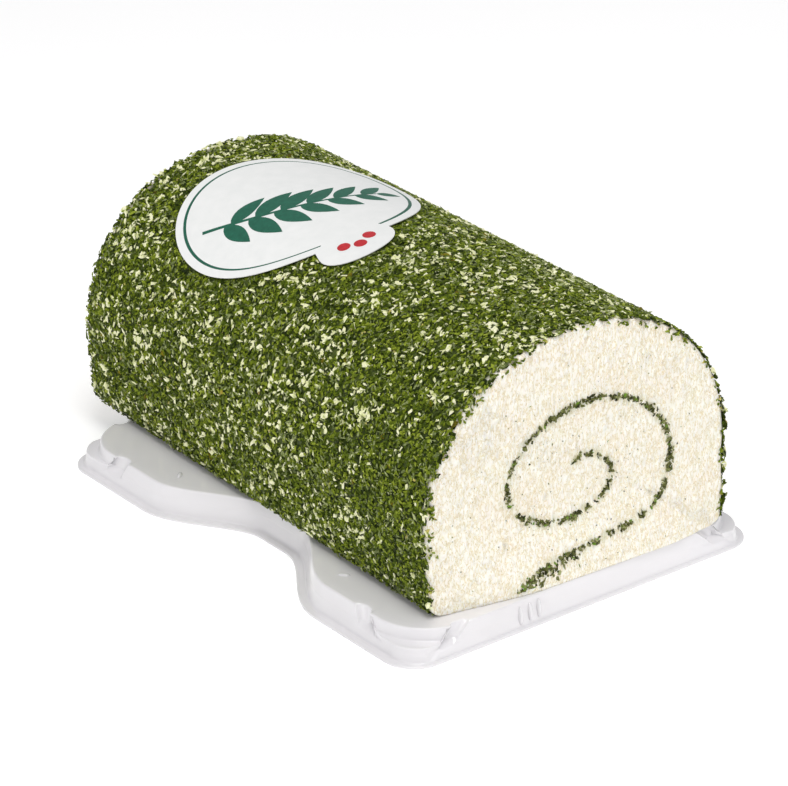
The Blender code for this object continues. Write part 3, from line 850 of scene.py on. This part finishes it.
def sheet_mesh():
    path, _ = swirl_path(SHEET_POINTS)
    bm = bmesh.new()
    verts = [bm.verts.new((x, LOG_FRONT + SHEET_END_DEPTH, z)) for x, z in path]
    line = [bm.edges.new(pair) for pair in zip(verts, verts[1:])]
    drawn = bmesh.ops.extrude_edge_only(bm, edges=line)
    moved = [g for g in drawn["geom"] if isinstance(g, bmesh.types.BMVert)]
    bmesh.ops.translate(bm, vec=Vector((0, LOG_REAR - LOG_FRONT - 2 * SHEET_END_DEPTH, 0)), verts=moved)
    bmesh.ops.recalc_face_normals(bm, faces=bm.faces)
    bmesh.ops.solidify(bm, geom=bm.faces[:], thickness=SHEET_THICKNESS)
    bmesh.ops.recalc_face_normals(bm, faces=bm.faces)
    return mesh_from(bm, "herb_sheet")


SEAM_COLOURS = ((0.030, 0.034, 0.010), (0.145, 0.155, 0.045), (0.380, 0.400, 0.180), (0.15, 0.27, 0.03))
seam_material = leaf_material("moist_rolled_herbs", *SEAM_COLOURS, 0.45)
herb_sheet = add_piece("rolled_herb_sheet", sheet_mesh(), seam_material)
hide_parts("herb_swirl")

# %% Flecks on the cut faces
SEAM_FLECKS_PER_END = 1150
STRAY_FLECKS_PER_END = 420
EDGE_FLECKS_PER_END = 420
CLUMP_LENGTH = 2.4 * MM
GAP_BELOW = -0.22
TAIL_SHARE = 0.05
LINE_SPREAD = 0.42 * MM
STREWN_SPREAD = 1.8 * MM
INNER_OVAL = (27 * MM, 19 * MM)
FACE_ENDS = ((1, LOG_FRONT, -1.0), (2, LOG_REAR, 1.0))


def flecks_on_faces(name, spots_on_end, lengths, middle_tone, material, slot, seed):
    """Flecks pressed into both cut faces, at the places that a rule gives for each end."""
    rng = np.random.default_rng(seed)
    middles, facings = [], []
    for end, plane, outward in FACE_ENDS:
        spots = spots_on_end(rng, end)
        relief = np.array([curd_relief(x, z, end)[0] for x, z in spots])
        sunk = rng.uniform(-0.15, 0.1, len(spots)) * MM
        y = plane - outward * (FACE_SETBACK - relief + sunk)
        middles.append(np.stack([spots[:, 0], y, spots[:, 1]], 1))
        facings.append(np.tile([0.0, outward, 0.0], (len(spots), 1)))
    middles, facings = np.concatenate(middles), np.concatenate(facings)
    turns = turned_frames(facings, rng, math.radians(20))
    size = rng.triangular(*lengths, len(middles)) * MM
    sizes = np.stack([size, size * rng.uniform(0.6, 0.95, len(size)), size * 1.6], 1)
    tones = np.clip(rng.normal(middle_tone, 0.17, len(size)), 0, 0.62)
    tones[rng.uniform(0, 1, len(size)) < 0.08] = 1.0
    mesh = copies_mesh(name, leaf_template, middles, turns, sizes, tones, rng)
    return add_piece(name, mesh, material, smooth=False)


def spots_on_seam(rng, end):
    """Along the swirl in clumps, and strewn wider below its outer end."""
    share = rng.uniform(0, 1, SEAM_FLECKS_PER_END)
    clumps = np.array([noise.noise(Vector((s * swirl_length / CLUMP_LENGTH, end * 5.0, 0.3))) for s in share])
    share = share[(clumps > GAP_BELOW + rng.normal(0, 0.08, SEAM_FLECKS_PER_END)) | (share < TAIL_SHARE)]
    last = SWIRL_SAMPLES - 1
    on_line = swirl_points[(share * last).astype(int)] + rng.normal(0, LINE_SPREAD, (len(share), 2))
    tail_share = rng.uniform(0, 2 * TAIL_SHARE, SEAM_FLECKS_PER_END // 18)
    tail = swirl_points[(tail_share * last).astype(int)]
    strewn = tail + np.abs(rng.normal(0, STREWN_SPREAD, tail.shape)) * [1.0, -1.0]
    strewn[:, 1] = np.maximum(strewn[:, 1], LOG_BASE + 0.3 * MM)
    return np.concatenate([on_line, strewn])


def spots_over_face(rng, end):
    """Strays: some all over, more of them inside the swirl."""
    across = rng.uniform(-0.46, 0.46, STRAY_FLECKS_PER_END)
    up = rng.uniform(0.02, 0.97, STRAY_FLECKS_PER_END)
    across, up = across * 2 * BELLY_HALF_WIDTH, up * CROWN_HEIGHT
    arch = np.hypot(across / BELLY_HALF_WIDTH, up / CROWN_HEIGHT)
    inner = np.hypot(across / INNER_OVAL[0], (up - SWIRL_CENTRE_HEIGHT) / INNER_OVAL[1])
    places = np.stack([LOG_CENTRE_X + across, LOG_BASE + up], 1)
    return places[(arch < 0.93) & ((inner < 1) | (rng.uniform(0, 1, len(places)) < 0.5))]


def spots_at_edge(rng, end):
    """Bits of the coat that the wire has dragged over the face's edge, most of them over the top."""
    arc = rng.uniform(-FOOT_ARC, FOOT_ARC, EDGE_FLECKS_PER_END)
    inwards = -np.abs(rng.normal(0, 0.9 * MM, len(arc))) - 0.3 * MM
    place, _ = on_section(ground_line, arc, np.zeros_like(arc), inwards)
    clumps = patchiness(arc, np.zeros_like(arc), 4 * MM, end * 3.0)
    return place[clumps > 0.0][:, [0, 2]]


green_leaf = leaf_pieces[2].data.materials[0]
for fleck_kind in (
    # name, places, lengths in mm, middle tone, material, slot, seed
    ("seam_flecks", spots_on_seam, (0.6, 1.3, 2.4), 0.27, seam_material, "herb_line", 33),
    ("stray_flecks", spots_over_face, (0.25, 0.4, 0.9), 0.3, seam_material, "herb_line", 34),
    ("edge_flecks", spots_at_edge, (0.7, 1.2, 2.0), 0.3, green_leaf, "chopped_herbs", 35),
):
    flecks_on_faces(*fleck_kind)

# %% [markdown]
# ## The paper label
# The label is thin coated paper that follows the crown. A row of vertices is spun to a round sheet, which is
# pushed into the label's outline and then laid on the log. Its flat layout is kept as a UV map, so that the
# printed border, a thin line between two ovals, can be drawn by the material and stays sharp.

# %% Laying flat things on the log
PAPER_LIFT = 1.62 * MM
UV_SIZE = 100 * MM
paper_line = section_line(PAPER_LIFT)


def on_label(across, along, lift=0.0):
    """Places on the paper, from the flat layout's distances across and along."""
    arc = LABEL_CENTRE_ARC + np.asarray(across, float)
    y = LABEL_CENTRE_Y + np.asarray(along, float)
    return on_section(paper_line, arc, y, np.full(arc.shape, lift))[0]


def lay_on_label(bm, name, lift):
    """Lay a flat mesh on the paper and keep its flat layout as UV."""
    bmesh.ops.recalc_face_normals(bm, faces=bm.faces)
    flat = np.array([vert.co.xy for vert in bm.verts])
    layout = bm.loops.layers.uv.new("flat")
    for face in bm.faces:
        for loop in face.loops:
            loop[layout].uv = loop.vert.co.xy / UV_SIZE + Vector((0.5, 0.5))
    for vert, place in zip(bm.verts, on_label(flat[:, 0], flat[:, 1], lift)):
        vert.co = Vector(place)
    bm.normal_update()
    bmesh.ops.reverse_faces(bm, faces=[face for face in bm.faces if face.normal.z < 0])
    return mesh_from(bm, name)


# %% Label mesh
PAPER_THICKNESS = 0.22 * MM
PAPER_RINGS = 14
PAPER_SPOKES = 720


def paper_mesh():
    bm = bmesh.new()
    row = [bm.verts.new((i / PAPER_RINGS, 0.0, 0.0)) for i in range(PAPER_RINGS + 1)]
    edges = [bm.edges.new(pair) for pair in zip(row, row[1:])]
    bmesh.ops.spin(bm, geom=row + edges, axis=(0, 0, 1), cent=(0, 0, 0), angle=2 * math.pi,
                   steps=PAPER_SPOKES, use_merge=True)
    bmesh.ops.remove_doubles(bm, verts=bm.verts, dist=1e-5)
    flat = np.array([vert.co.xy for vert in bm.verts])
    angle, share = np.arctan2(flat[:, 1], flat[:, 0]), np.hypot(flat[:, 0], flat[:, 1])
    oval = main_oval_reach(angle)
    reach = share * (oval + (label_reach(angle) - oval) * smooth_step((share - 0.4) / 0.6))
    for vert, spoke, out in zip(bm.verts, angle, reach):
        vert.co = Vector((math.cos(spoke) * out, math.sin(spoke) * out, 0.0))
    for edge in bm.edges:
        edge.smooth = not edge.is_boundary
    return lay_on_label(bm, "paper_label", 0.0)


# %% Paper and ink materials
BORDER_OUTER = (33.4 * MM, 28.3 * MM)
BORDER_INNER = (32.4 * MM, 27.85 * MM)
INK_GREEN = (0.003, 0.105, 0.060)
INK_RED = (0.50, 0.012, 0.020)


def oval_mask(material, centre, turn, half):
    """1 inside a turned oval of the label's flat layout, 0 outside."""
    layout = add_node(material, "ShaderNodeUVMap")
    layout.uv_map = "flat"
    away = (-0.5 - centre[0] / UV_SIZE, -0.5 - centre[1] / UV_SIZE, 0.0)
    centred = add_node(material, "ShaderNodeMapping", Location=away)
    turned = add_node(material, "ShaderNodeMapping", Rotation=(0.0, 0.0, -turn))
    sized = add_node(material, "ShaderNodeMapping", Scale=(UV_SIZE / half[0], UV_SIZE / half[1], 0.0))
    length = material.node_tree.nodes.new("ShaderNodeVectorMath")
    length.operation = "LENGTH"
    chain = [layout.outputs["UV"]]
    for node in (centred, turned, sized):
        join(material, chain[-1], node.inputs["Vector"])
        chain.append(node.outputs["Vector"])
    join(material, chain[-1], length.inputs[0])
    return calculate(material, "LESS_THAN", length.outputs["Value"], 1.0)


def paper_material():
    material, shader = new_material("coated_label_paper", 0.38)
    mottle = noise_pattern(material, (260, 260, 260), 3.0)
    paper = colour_ramp(material, mottle, [
        (0.3, (0.875, 0.89, 0.88)), (0.6, (0.91, 0.92, 0.91)), (0.8, (0.93, 0.935, 0.93)),
    ])
    ring = calculate(material, "SUBTRACT", oval_mask(material, (0, 0), LABEL_TURN, BORDER_OUTER),
                     oval_mask(material, (0, 0), LABEL_TURN, BORDER_INNER))
    clear = calculate(material, "SUBTRACT", 1.0, oval_mask(material, TAB_CENTRE, 0.0, TAB_HALF))
    line = calculate(material, "MULTIPLY", ring, clear)
    join(material, mix_colours(material, line, paper, (*INK_GREEN, 1.0)), shader.inputs["Base Color"])
    fibres = noise_pattern(material, (1400, 1400, 1400), 3.0, 0.6)
    add_bump(material, shader, fibres, 0.05 * MM, 0.4)
    return material


def ink_material(name, colour):
    light = tuple(min(1.0, channel * 1.25 + 0.004) for channel in colour)
    return mottled_material(name, 0.4, (800, 800, 800), 2.0, [(0.35, colour), (0.7, light)])[0]


label = add_piece("paper_label", paper_mesh(), paper_material())
wall = label.modifiers.new("paper wall", "SOLIDIFY")
wall.thickness = PAPER_THICKNESS
wall.offset = 1.0
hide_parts("label")

# %% [markdown]
# ## A printed sprig
# The label needs a plain printed picture. A stem with pairs of pointed leaves suits herbs. Each leaf is a
# small grid narrowed to a leaf's form and laid a hair above the paper, so it bends with the label.

# %% Sprig
INK_LIFT = PAPER_THICKNESS + 0.035 * MM
STEM_START = Vector((-27.0 * MM, -5.0 * MM))
STEM_END = Vector((23.0 * MM, 6.0 * MM))
STEM_BOW = 5.0 * MM
LEAF_PAIRS = 6


def stem_place(t):
    """A place along the bowed stem, in the label's own turned layout."""
    straight = STEM_START.lerp(STEM_END, t)
    return straight + Vector((0.0, -STEM_BOW * math.sin(math.pi * t)))


def add_printed_leaf(bm, base, heading, length, width):
    """A pointed leaf from a base point, as a small grid narrowed at both ends."""
    made = bmesh.ops.create_grid(bm, x_segments=10, y_segments=4, size=0.5)
    along = Vector((math.cos(heading), math.sin(heading)))
    aside = Vector((-along.y, along.x))
    for vert in made["verts"]:
        t = vert.co.x + 0.5
        breadth = width * vert.co.y * math.sin(math.pi * t ** 0.8) ** 0.9
        place = base + along * (length * t) + aside * breadth
        vert.co = Vector((*place, 0.0))
    bmesh.ops.remove_doubles(bm, verts=made["verts"], dist=0.01 * MM)


def turn_to_layout(bm):
    bmesh.ops.rotate(bm, cent=Vector(), matrix=Matrix.Rotation(LABEL_TURN, 3, "Z"), verts=bm.verts)


def sprig_mesh():
    bm = bmesh.new()
    made = bmesh.ops.create_grid(bm, x_segments=40, y_segments=1, size=0.5)
    for vert in made["verts"]:
        t = vert.co.x + 0.5
        half = (0.6 - 0.3 * t) * MM * vert.co.y
        vert.co = Vector((*(stem_place(t) + Vector((0.0, half * 2))), 0.0))
    for pair in range(LEAF_PAIRS):
        t = 0.16 + 0.74 * pair / (LEAF_PAIRS - 1)
        ahead = stem_place(t + 0.02) - stem_place(t - 0.02)
        heading = math.atan2(ahead.y, ahead.x)
        length = (15.0 - 6.0 * abs(t - 0.35) / 0.65) * MM
        for side in (-1, 1):
            splay = math.radians(50 - 14 * t)
            start = stem_place(t + 0.02 * side)
            add_printed_leaf(bm, start, heading + side * splay, length, length * 0.4)
    add_printed_leaf(bm, stem_place(1.0), math.radians(14), 7.0 * MM, 3.0 * MM)
    turn_to_layout(bm)
    return lay_on_label(bm, "printed_sprig", INK_LIFT)


def berries_mesh():
    bm = bmesh.new()
    for across, along in ((-6.4, -33.2), (-2.4, -35.6), (2.0, -33.6)):
        made = bmesh.ops.create_circle(bm, cap_ends=True, cap_tris=True, segments=24, radius=1.9 * MM)
        bmesh.ops.translate(bm, vec=Vector((across * MM, along * MM, 0.0)), verts=made["verts"])
    return lay_on_label(bm, "printed_berries", INK_LIFT)


add_piece("printed_sprig", sprig_mesh(), ink_material("green_ink", INK_GREEN))
add_piece("printed_berries", berries_mesh(), ink_material("red_ink", INK_RED))

# %% [markdown]
# ## The moulded tray
# The tray is drawn from thin sheet over a mould, so it is one thin wall everywhere: deck, stepped corners, a
# half-round flute on each side of a corner and a narrow rim. We walk round a quarter of its edge, note the
# shape at each station, and mirror that to the whole ring. Each ring of the mesh is extruded from the one
# before: from the deck's edge down to the rim, round it, and back up inside. A short curve rounds each fold.

# %% Tray sizes
TRAY_CENTRE = Vector((0.0, -5.15 * MM, 0.0))
TRAY_TURN = math.radians(2.0)
TRAY_WALL = 0.7 * MM
DECK_HALF_WIDTH = 58.0 * MM
DECK_HALF_LENGTH = 78.0 * MM
DECK_CORNER_RADIUS = 16.0 * MM
WAIST_HALF_WIDTH = 42.0 * MM
WAIST_FLAT = 6.0 * MM
WAIST_EASE = 34.0 * MM
RIM_SIDE_REACH = 4.145 * MM
RIM_END_REACH = 1.96 * MM
RIM_CORNER_RADIUS = 10.0 * MM
RIM_END_WIDTH = 1.1 * MM
RIM_SIDE_WIDTH = 2.5 * MM
LEDGE_HEIGHT = 4.8 * MM
LEDGE_DROP = 0.25 * MM
RISER_SHARE = 0.1
LEDGE_SHARE = 0.85
LEDGE_EASE = 1.2 * MM
FLUTE_DEPTH = 1.9 * MM
FLUTE_HALF_WIDTH = 3.1 * MM
FLUTE_FLOOR = 3.0 * MM
END_FLUTE = 42.8 * MM
SIDE_FLUTE = 73.5 * MM
EDGE_STEP = 1.2 * MM
FLUTE_STEPS = 10
tray_place = Matrix.Translation(TRAY_CENTRE) @ Matrix.Rotation(TRAY_TURN, 4, "Z")


# %% Stations round the tray's edge
def deck_half_width(y):
    t = min(1.0, max(0.0, (abs(y) - WAIST_FLAT) / WAIST_EASE))
    return WAIST_HALF_WIDTH + (DECK_HALF_WIDTH - WAIST_HALF_WIDTH) * t * t * (3 - 2 * t)


def flute_share(distance, half_width):
    """How deep a half-round flute is at a distance along the edge, from 0 to 1."""
    off = min(abs(distance - END_FLUTE), abs(distance - SIDE_FLUTE)) / half_width
    return math.sqrt(1 - off ** 2) if off < 1 else 0.0


def ledge_share(distance):
    """1 along a corner's ledge, easing to 0 at the flutes."""
    into = min(distance - END_FLUTE, SIDE_FLUTE - distance) - FLUTE_HALF_WIDTH
    return float(smooth_step(into / LEDGE_EASE))


def edge_station(distance):
    """Place, outward direction, rim, rim width, ledge and both skins' flutes, by distance along the edge."""
    deck_centre = Vector((DECK_HALF_WIDTH - DECK_CORNER_RADIUS, DECK_CORNER_RADIUS - DECK_HALF_LENGTH))
    rim_centre = Vector((DECK_HALF_WIDTH + RIM_SIDE_REACH - RIM_CORNER_RADIUS,
                         RIM_CORNER_RADIUS - DECK_HALF_LENGTH - RIM_END_REACH))
    arc = math.pi / 2 * DECK_CORNER_RADIUS
    turned = min(1.0, max(0.0, (distance - deck_centre.x) / arc))
    facing = Vector((math.sin(math.pi / 2 * turned), -math.cos(math.pi / 2 * turned)))
    place = deck_centre + facing * DECK_CORNER_RADIUS
    rim = rim_centre + facing * RIM_CORNER_RADIUS
    if turned == 0.0:
        place.x = distance
        rim.x = distance * rim_centre.x / deck_centre.x
    if turned == 1.0:
        waist_start = -(WAIST_FLAT + WAIST_EASE)
        place.y = deck_centre.y + distance - deck_centre.x - arc
        share = (place.y - waist_start) / (deck_centre.y - waist_start)
        rim.y = waist_start + (rim_centre.y - waist_start) * share
    width = RIM_END_WIDTH + (RIM_SIDE_WIDTH - RIM_END_WIDTH) * turned
    flutes = [flute_share(distance, FLUTE_HALF_WIDTH + wider) for wider in (0.0, TRAY_WALL)]
    return place, facing, rim, width, ledge_share(distance), flutes


def waist_station(y):
    nudge = 0.1 * MM
    slope = (deck_half_width(y + nudge) - deck_half_width(y - nudge)) / (2 * nudge)
    facing = Vector((1.0, -slope)).normalized()
    place = Vector((deck_half_width(y), y))
    return place, facing, place + facing * RIM_SIDE_REACH, RIM_SIDE_WIDTH, 0.0, (0.0, 0.0)


# %% The whole ring of stations
def spread(start, end, step):
    """Values from start to just before end, at about a step."""
    return np.linspace(start, end, max(2, round((end - start) / step)) + 1)[:-1].tolist()


def quarter_stations():
    side_start = DECK_HALF_WIDTH - DECK_CORNER_RADIUS + math.pi / 2 * DECK_CORNER_RADIUS
    side_end = side_start + DECK_HALF_LENGTH - DECK_CORNER_RADIUS - WAIST_FLAT - WAIST_EASE
    distances = spread(0.0, END_FLUTE - FLUTE_HALF_WIDTH, 3 * EDGE_STEP)
    for centre, after in ((END_FLUTE, SIDE_FLUTE - FLUTE_HALF_WIDTH), (SIDE_FLUTE, side_end)):
        for i in range(FLUTE_STEPS):
            distances.append(centre - FLUTE_HALF_WIDTH * math.cos(math.pi * i / FLUTE_STEPS))
        distances += spread(centre + FLUTE_HALF_WIDTH, after, EDGE_STEP)
    waist = spread(-(WAIST_FLAT + WAIST_EASE), 0.0, EDGE_STEP) + [0.0]
    return [edge_station(distance) for distance in distances] + [waist_station(y) for y in waist]


def mirrored(station, flip):
    place, facing, rim, *sizes = station
    return (place * flip, facing * flip, rim * flip, *sizes)


def tray_stations():
    quarter = quarter_stations()
    right = quarter + [mirrored(s, Vector((1, -1))) for s in reversed(quarter[:-1])]
    return right + [mirrored(s, Vector((-1, 1))) for s in reversed(right[1:-1])]


# %% The wall's profile with rounded folds
FOLD_RADIUS = 0.6 * MM
FOLD_STEPS = 4
DECK_BORDER = 3.0 * MM


def folded_profile(station):
    """The wall's sharp corners at one station: outside from deck to rim, then inside back up to the deck."""
    place, facing, rim, width, ledge, flutes = station
    foot = rim - facing * width
    inward = facing * TRAY_WALL
    fallen = (TRAY_HEIGHT - LEDGE_HEIGHT) / TRAY_HEIGHT
    riser = fallen + (RISER_SHARE - fallen) * ledge
    shelf = fallen + (LEDGE_SHARE - fallen) * ledge
    low = max(shelf, (TRAY_HEIGHT - FLUTE_FLOOR) / TRAY_HEIGHT)
    skins = []
    for cut in (facing * FLUTE_DEPTH * flute for flute in flutes):
        skins.append([
            (place - cut - facing * DECK_BORDER, TRAY_HEIGHT),
            (place - cut, TRAY_HEIGHT),
            (place.lerp(foot, riser) - cut, LEDGE_HEIGHT + LEDGE_DROP),
            (place.lerp(foot, shelf) - cut, LEDGE_HEIGHT),
            (place.lerp(foot, low), FLUTE_FLOOR),
        ])
    line = skins[0] + [(foot, TRAY_WALL), (rim, TRAY_WALL), (rim, 0.0), (foot - inward, 0.0)]
    line += [(spot - inward, height - TRAY_WALL) for spot, height in reversed(skins[1])]
    return [Vector((spot.x, spot.y, height)) for spot, height in line]


def rounded_profile(corners):
    """The same line with each fold replaced by a short curve, made shorter where a side is short, as at the
    thin rim's edge.
    """
    line = [corners[0]]
    for before, fold, after in zip(corners, corners[1:], corners[2:]):
        reach_in = min(FOLD_RADIUS, 0.45 * (before - fold).length)
        reach_out = min(FOLD_RADIUS, 0.45 * (after - fold).length)
        start = fold + (before - fold).normalized() * reach_in
        end = fold + (after - fold).normalized() * reach_out
        for i in range(FOLD_STEPS + 1):
            t = i / FOLD_STEPS
            line.append(start.lerp(fold, t).lerp(fold.lerp(end, t), t))
    return line + [corners[-1]]


# %% Small raised marks
RIB_PLACES = ((-23.1 * MM, 4.2 * MM), (-19.8 * MM, 4.4 * MM), (-16.8 * MM, 4.6 * MM))
RIB_HALF = (0.6 * MM, 1.1 * MM, 2.6 * MM)
DECK_MARK_PLACE = (50.5 * MM, 38.0 * MM)
DECK_MARK_HALF = (1.7 * MM, 0.7 * MM, 0.5 * MM)


def add_bead(bm, half, place, turn):
    """A long smooth bead, as a stretched ball."""
    made = bmesh.ops.create_uvsphere(bm, u_segments=16, v_segments=12, radius=1.0)
    bmesh.ops.scale(bm, vec=Vector(half), verts=made["verts"])
    bmesh.ops.transform(bm, matrix=Matrix.Translation(place) @ turn, verts=made["verts"])


def add_tray_beads(bm):
    """Three ribs on each end wall and four marks on the deck."""
    wall_slope = (RIM_END_REACH - RIM_END_WIDTH) / TRAY_HEIGHT
    for end in (1, -1):
        for x, z in RIB_PLACES:
            y = -(DECK_HALF_LENGTH + wall_slope * (TRAY_HEIGHT - z))
            lean = Matrix.Rotation(-math.atan(wall_slope) * end, 4, "X")
            add_bead(bm, RIB_HALF, Vector((x * end, y * end, z)), lean)
        for side in (1, -1):
            spot = Vector((DECK_MARK_PLACE[0] * side, DECK_MARK_PLACE[1] * end, TRAY_HEIGHT))
            add_bead(bm, DECK_MARK_HALF, spot, Matrix.Rotation(math.radians(-45) * side * end, 4, "Z"))


# %% Tray mesh
def extrude_ring(bm, ring):
    """Extrude a closed ring of vertices, and give the new ring in the same order."""
    edges = [bm.edges.get((ring[i - 1], ring[i])) for i in range(len(ring))]
    drawn = bmesh.ops.extrude_edge_only(bm, edges=edges)
    fresh = {g for g in drawn["geom"] if isinstance(g, bmesh.types.BMVert)}
    partners = []
    for vert in ring:
        partners.append(next(e.other_vert(vert) for e in vert.link_edges if e.other_vert(vert) in fresh))
    return partners


def tray_mesh():
    profiles = [rounded_profile(folded_profile(station)) for station in tray_stations()]
    bm = bmesh.new()
    ring = bmesh.ops.create_circle(bm, segments=len(profiles), radius=1.0)["verts"]
    deck_edge = list(ring)
    for level in range(len(profiles[0])):
        if level:
            ring = extrude_ring(bm, ring)
        for vert, line in zip(ring, profiles):
            vert.co = line[level]
    for edge_ring in (deck_edge, ring):
        bm.faces.new(edge_ring)
    add_tray_beads(bm)
    bmesh.ops.recalc_face_normals(bm, faces=bm.faces)
    bmesh.ops.transform(bm, matrix=tray_place, verts=bm.verts)
    heights = [vert.co.z / MM for vert in bm.verts]
    print("tray height, mm:", round(min(heights), 2), round(max(heights), 2))
    return mesh_from(bm, "moulded_tray")


# %% [markdown]
# ## Milky plastic
# The sheet is glossy and lets a little light into itself, which softens its edges. Faint flow marks come from
# a very slow noise in the colour and in a shallow bump.

# %% Tray material
def tray_material():
    material, shader = mottled_material("milky_sheet_plastic", 0.24, (30, 30, 60), 2.0, [
        (0.3, (0.765, 0.752, 0.772)), (0.7, (0.805, 0.792, 0.815)),
    ])
    shader.inputs["Subsurface Weight"].default_value = 0.2
    shader.inputs["Subsurface Radius"].default_value = (1.0, 1.0, 1.0)
    shader.inputs["Subsurface Scale"].default_value = 1.0 * MM
    shader.inputs["Coat Weight"].default_value = 0.5
    shader.inputs["Coat Roughness"].default_value = 0.08
    add_bump(material, shader, noise_pattern(material, (160, 160, 160), 2.0), 0.12 * MM, 0.3)
    return material


tray = add_piece("moulded_tray", tray_mesh(), tray_material(), smooth=False)
tray.data.set_sharp_from_angle(angle=math.radians(50))
tray.data.shade_smooth()
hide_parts("tray")

scene_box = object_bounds()
for scene_corner, cad_corner in zip(scene_box, cad_box):
    print("grown by, mm:", [round((s - c) / MM, 2) for s, c in zip(scene_corner, cad_corner)])
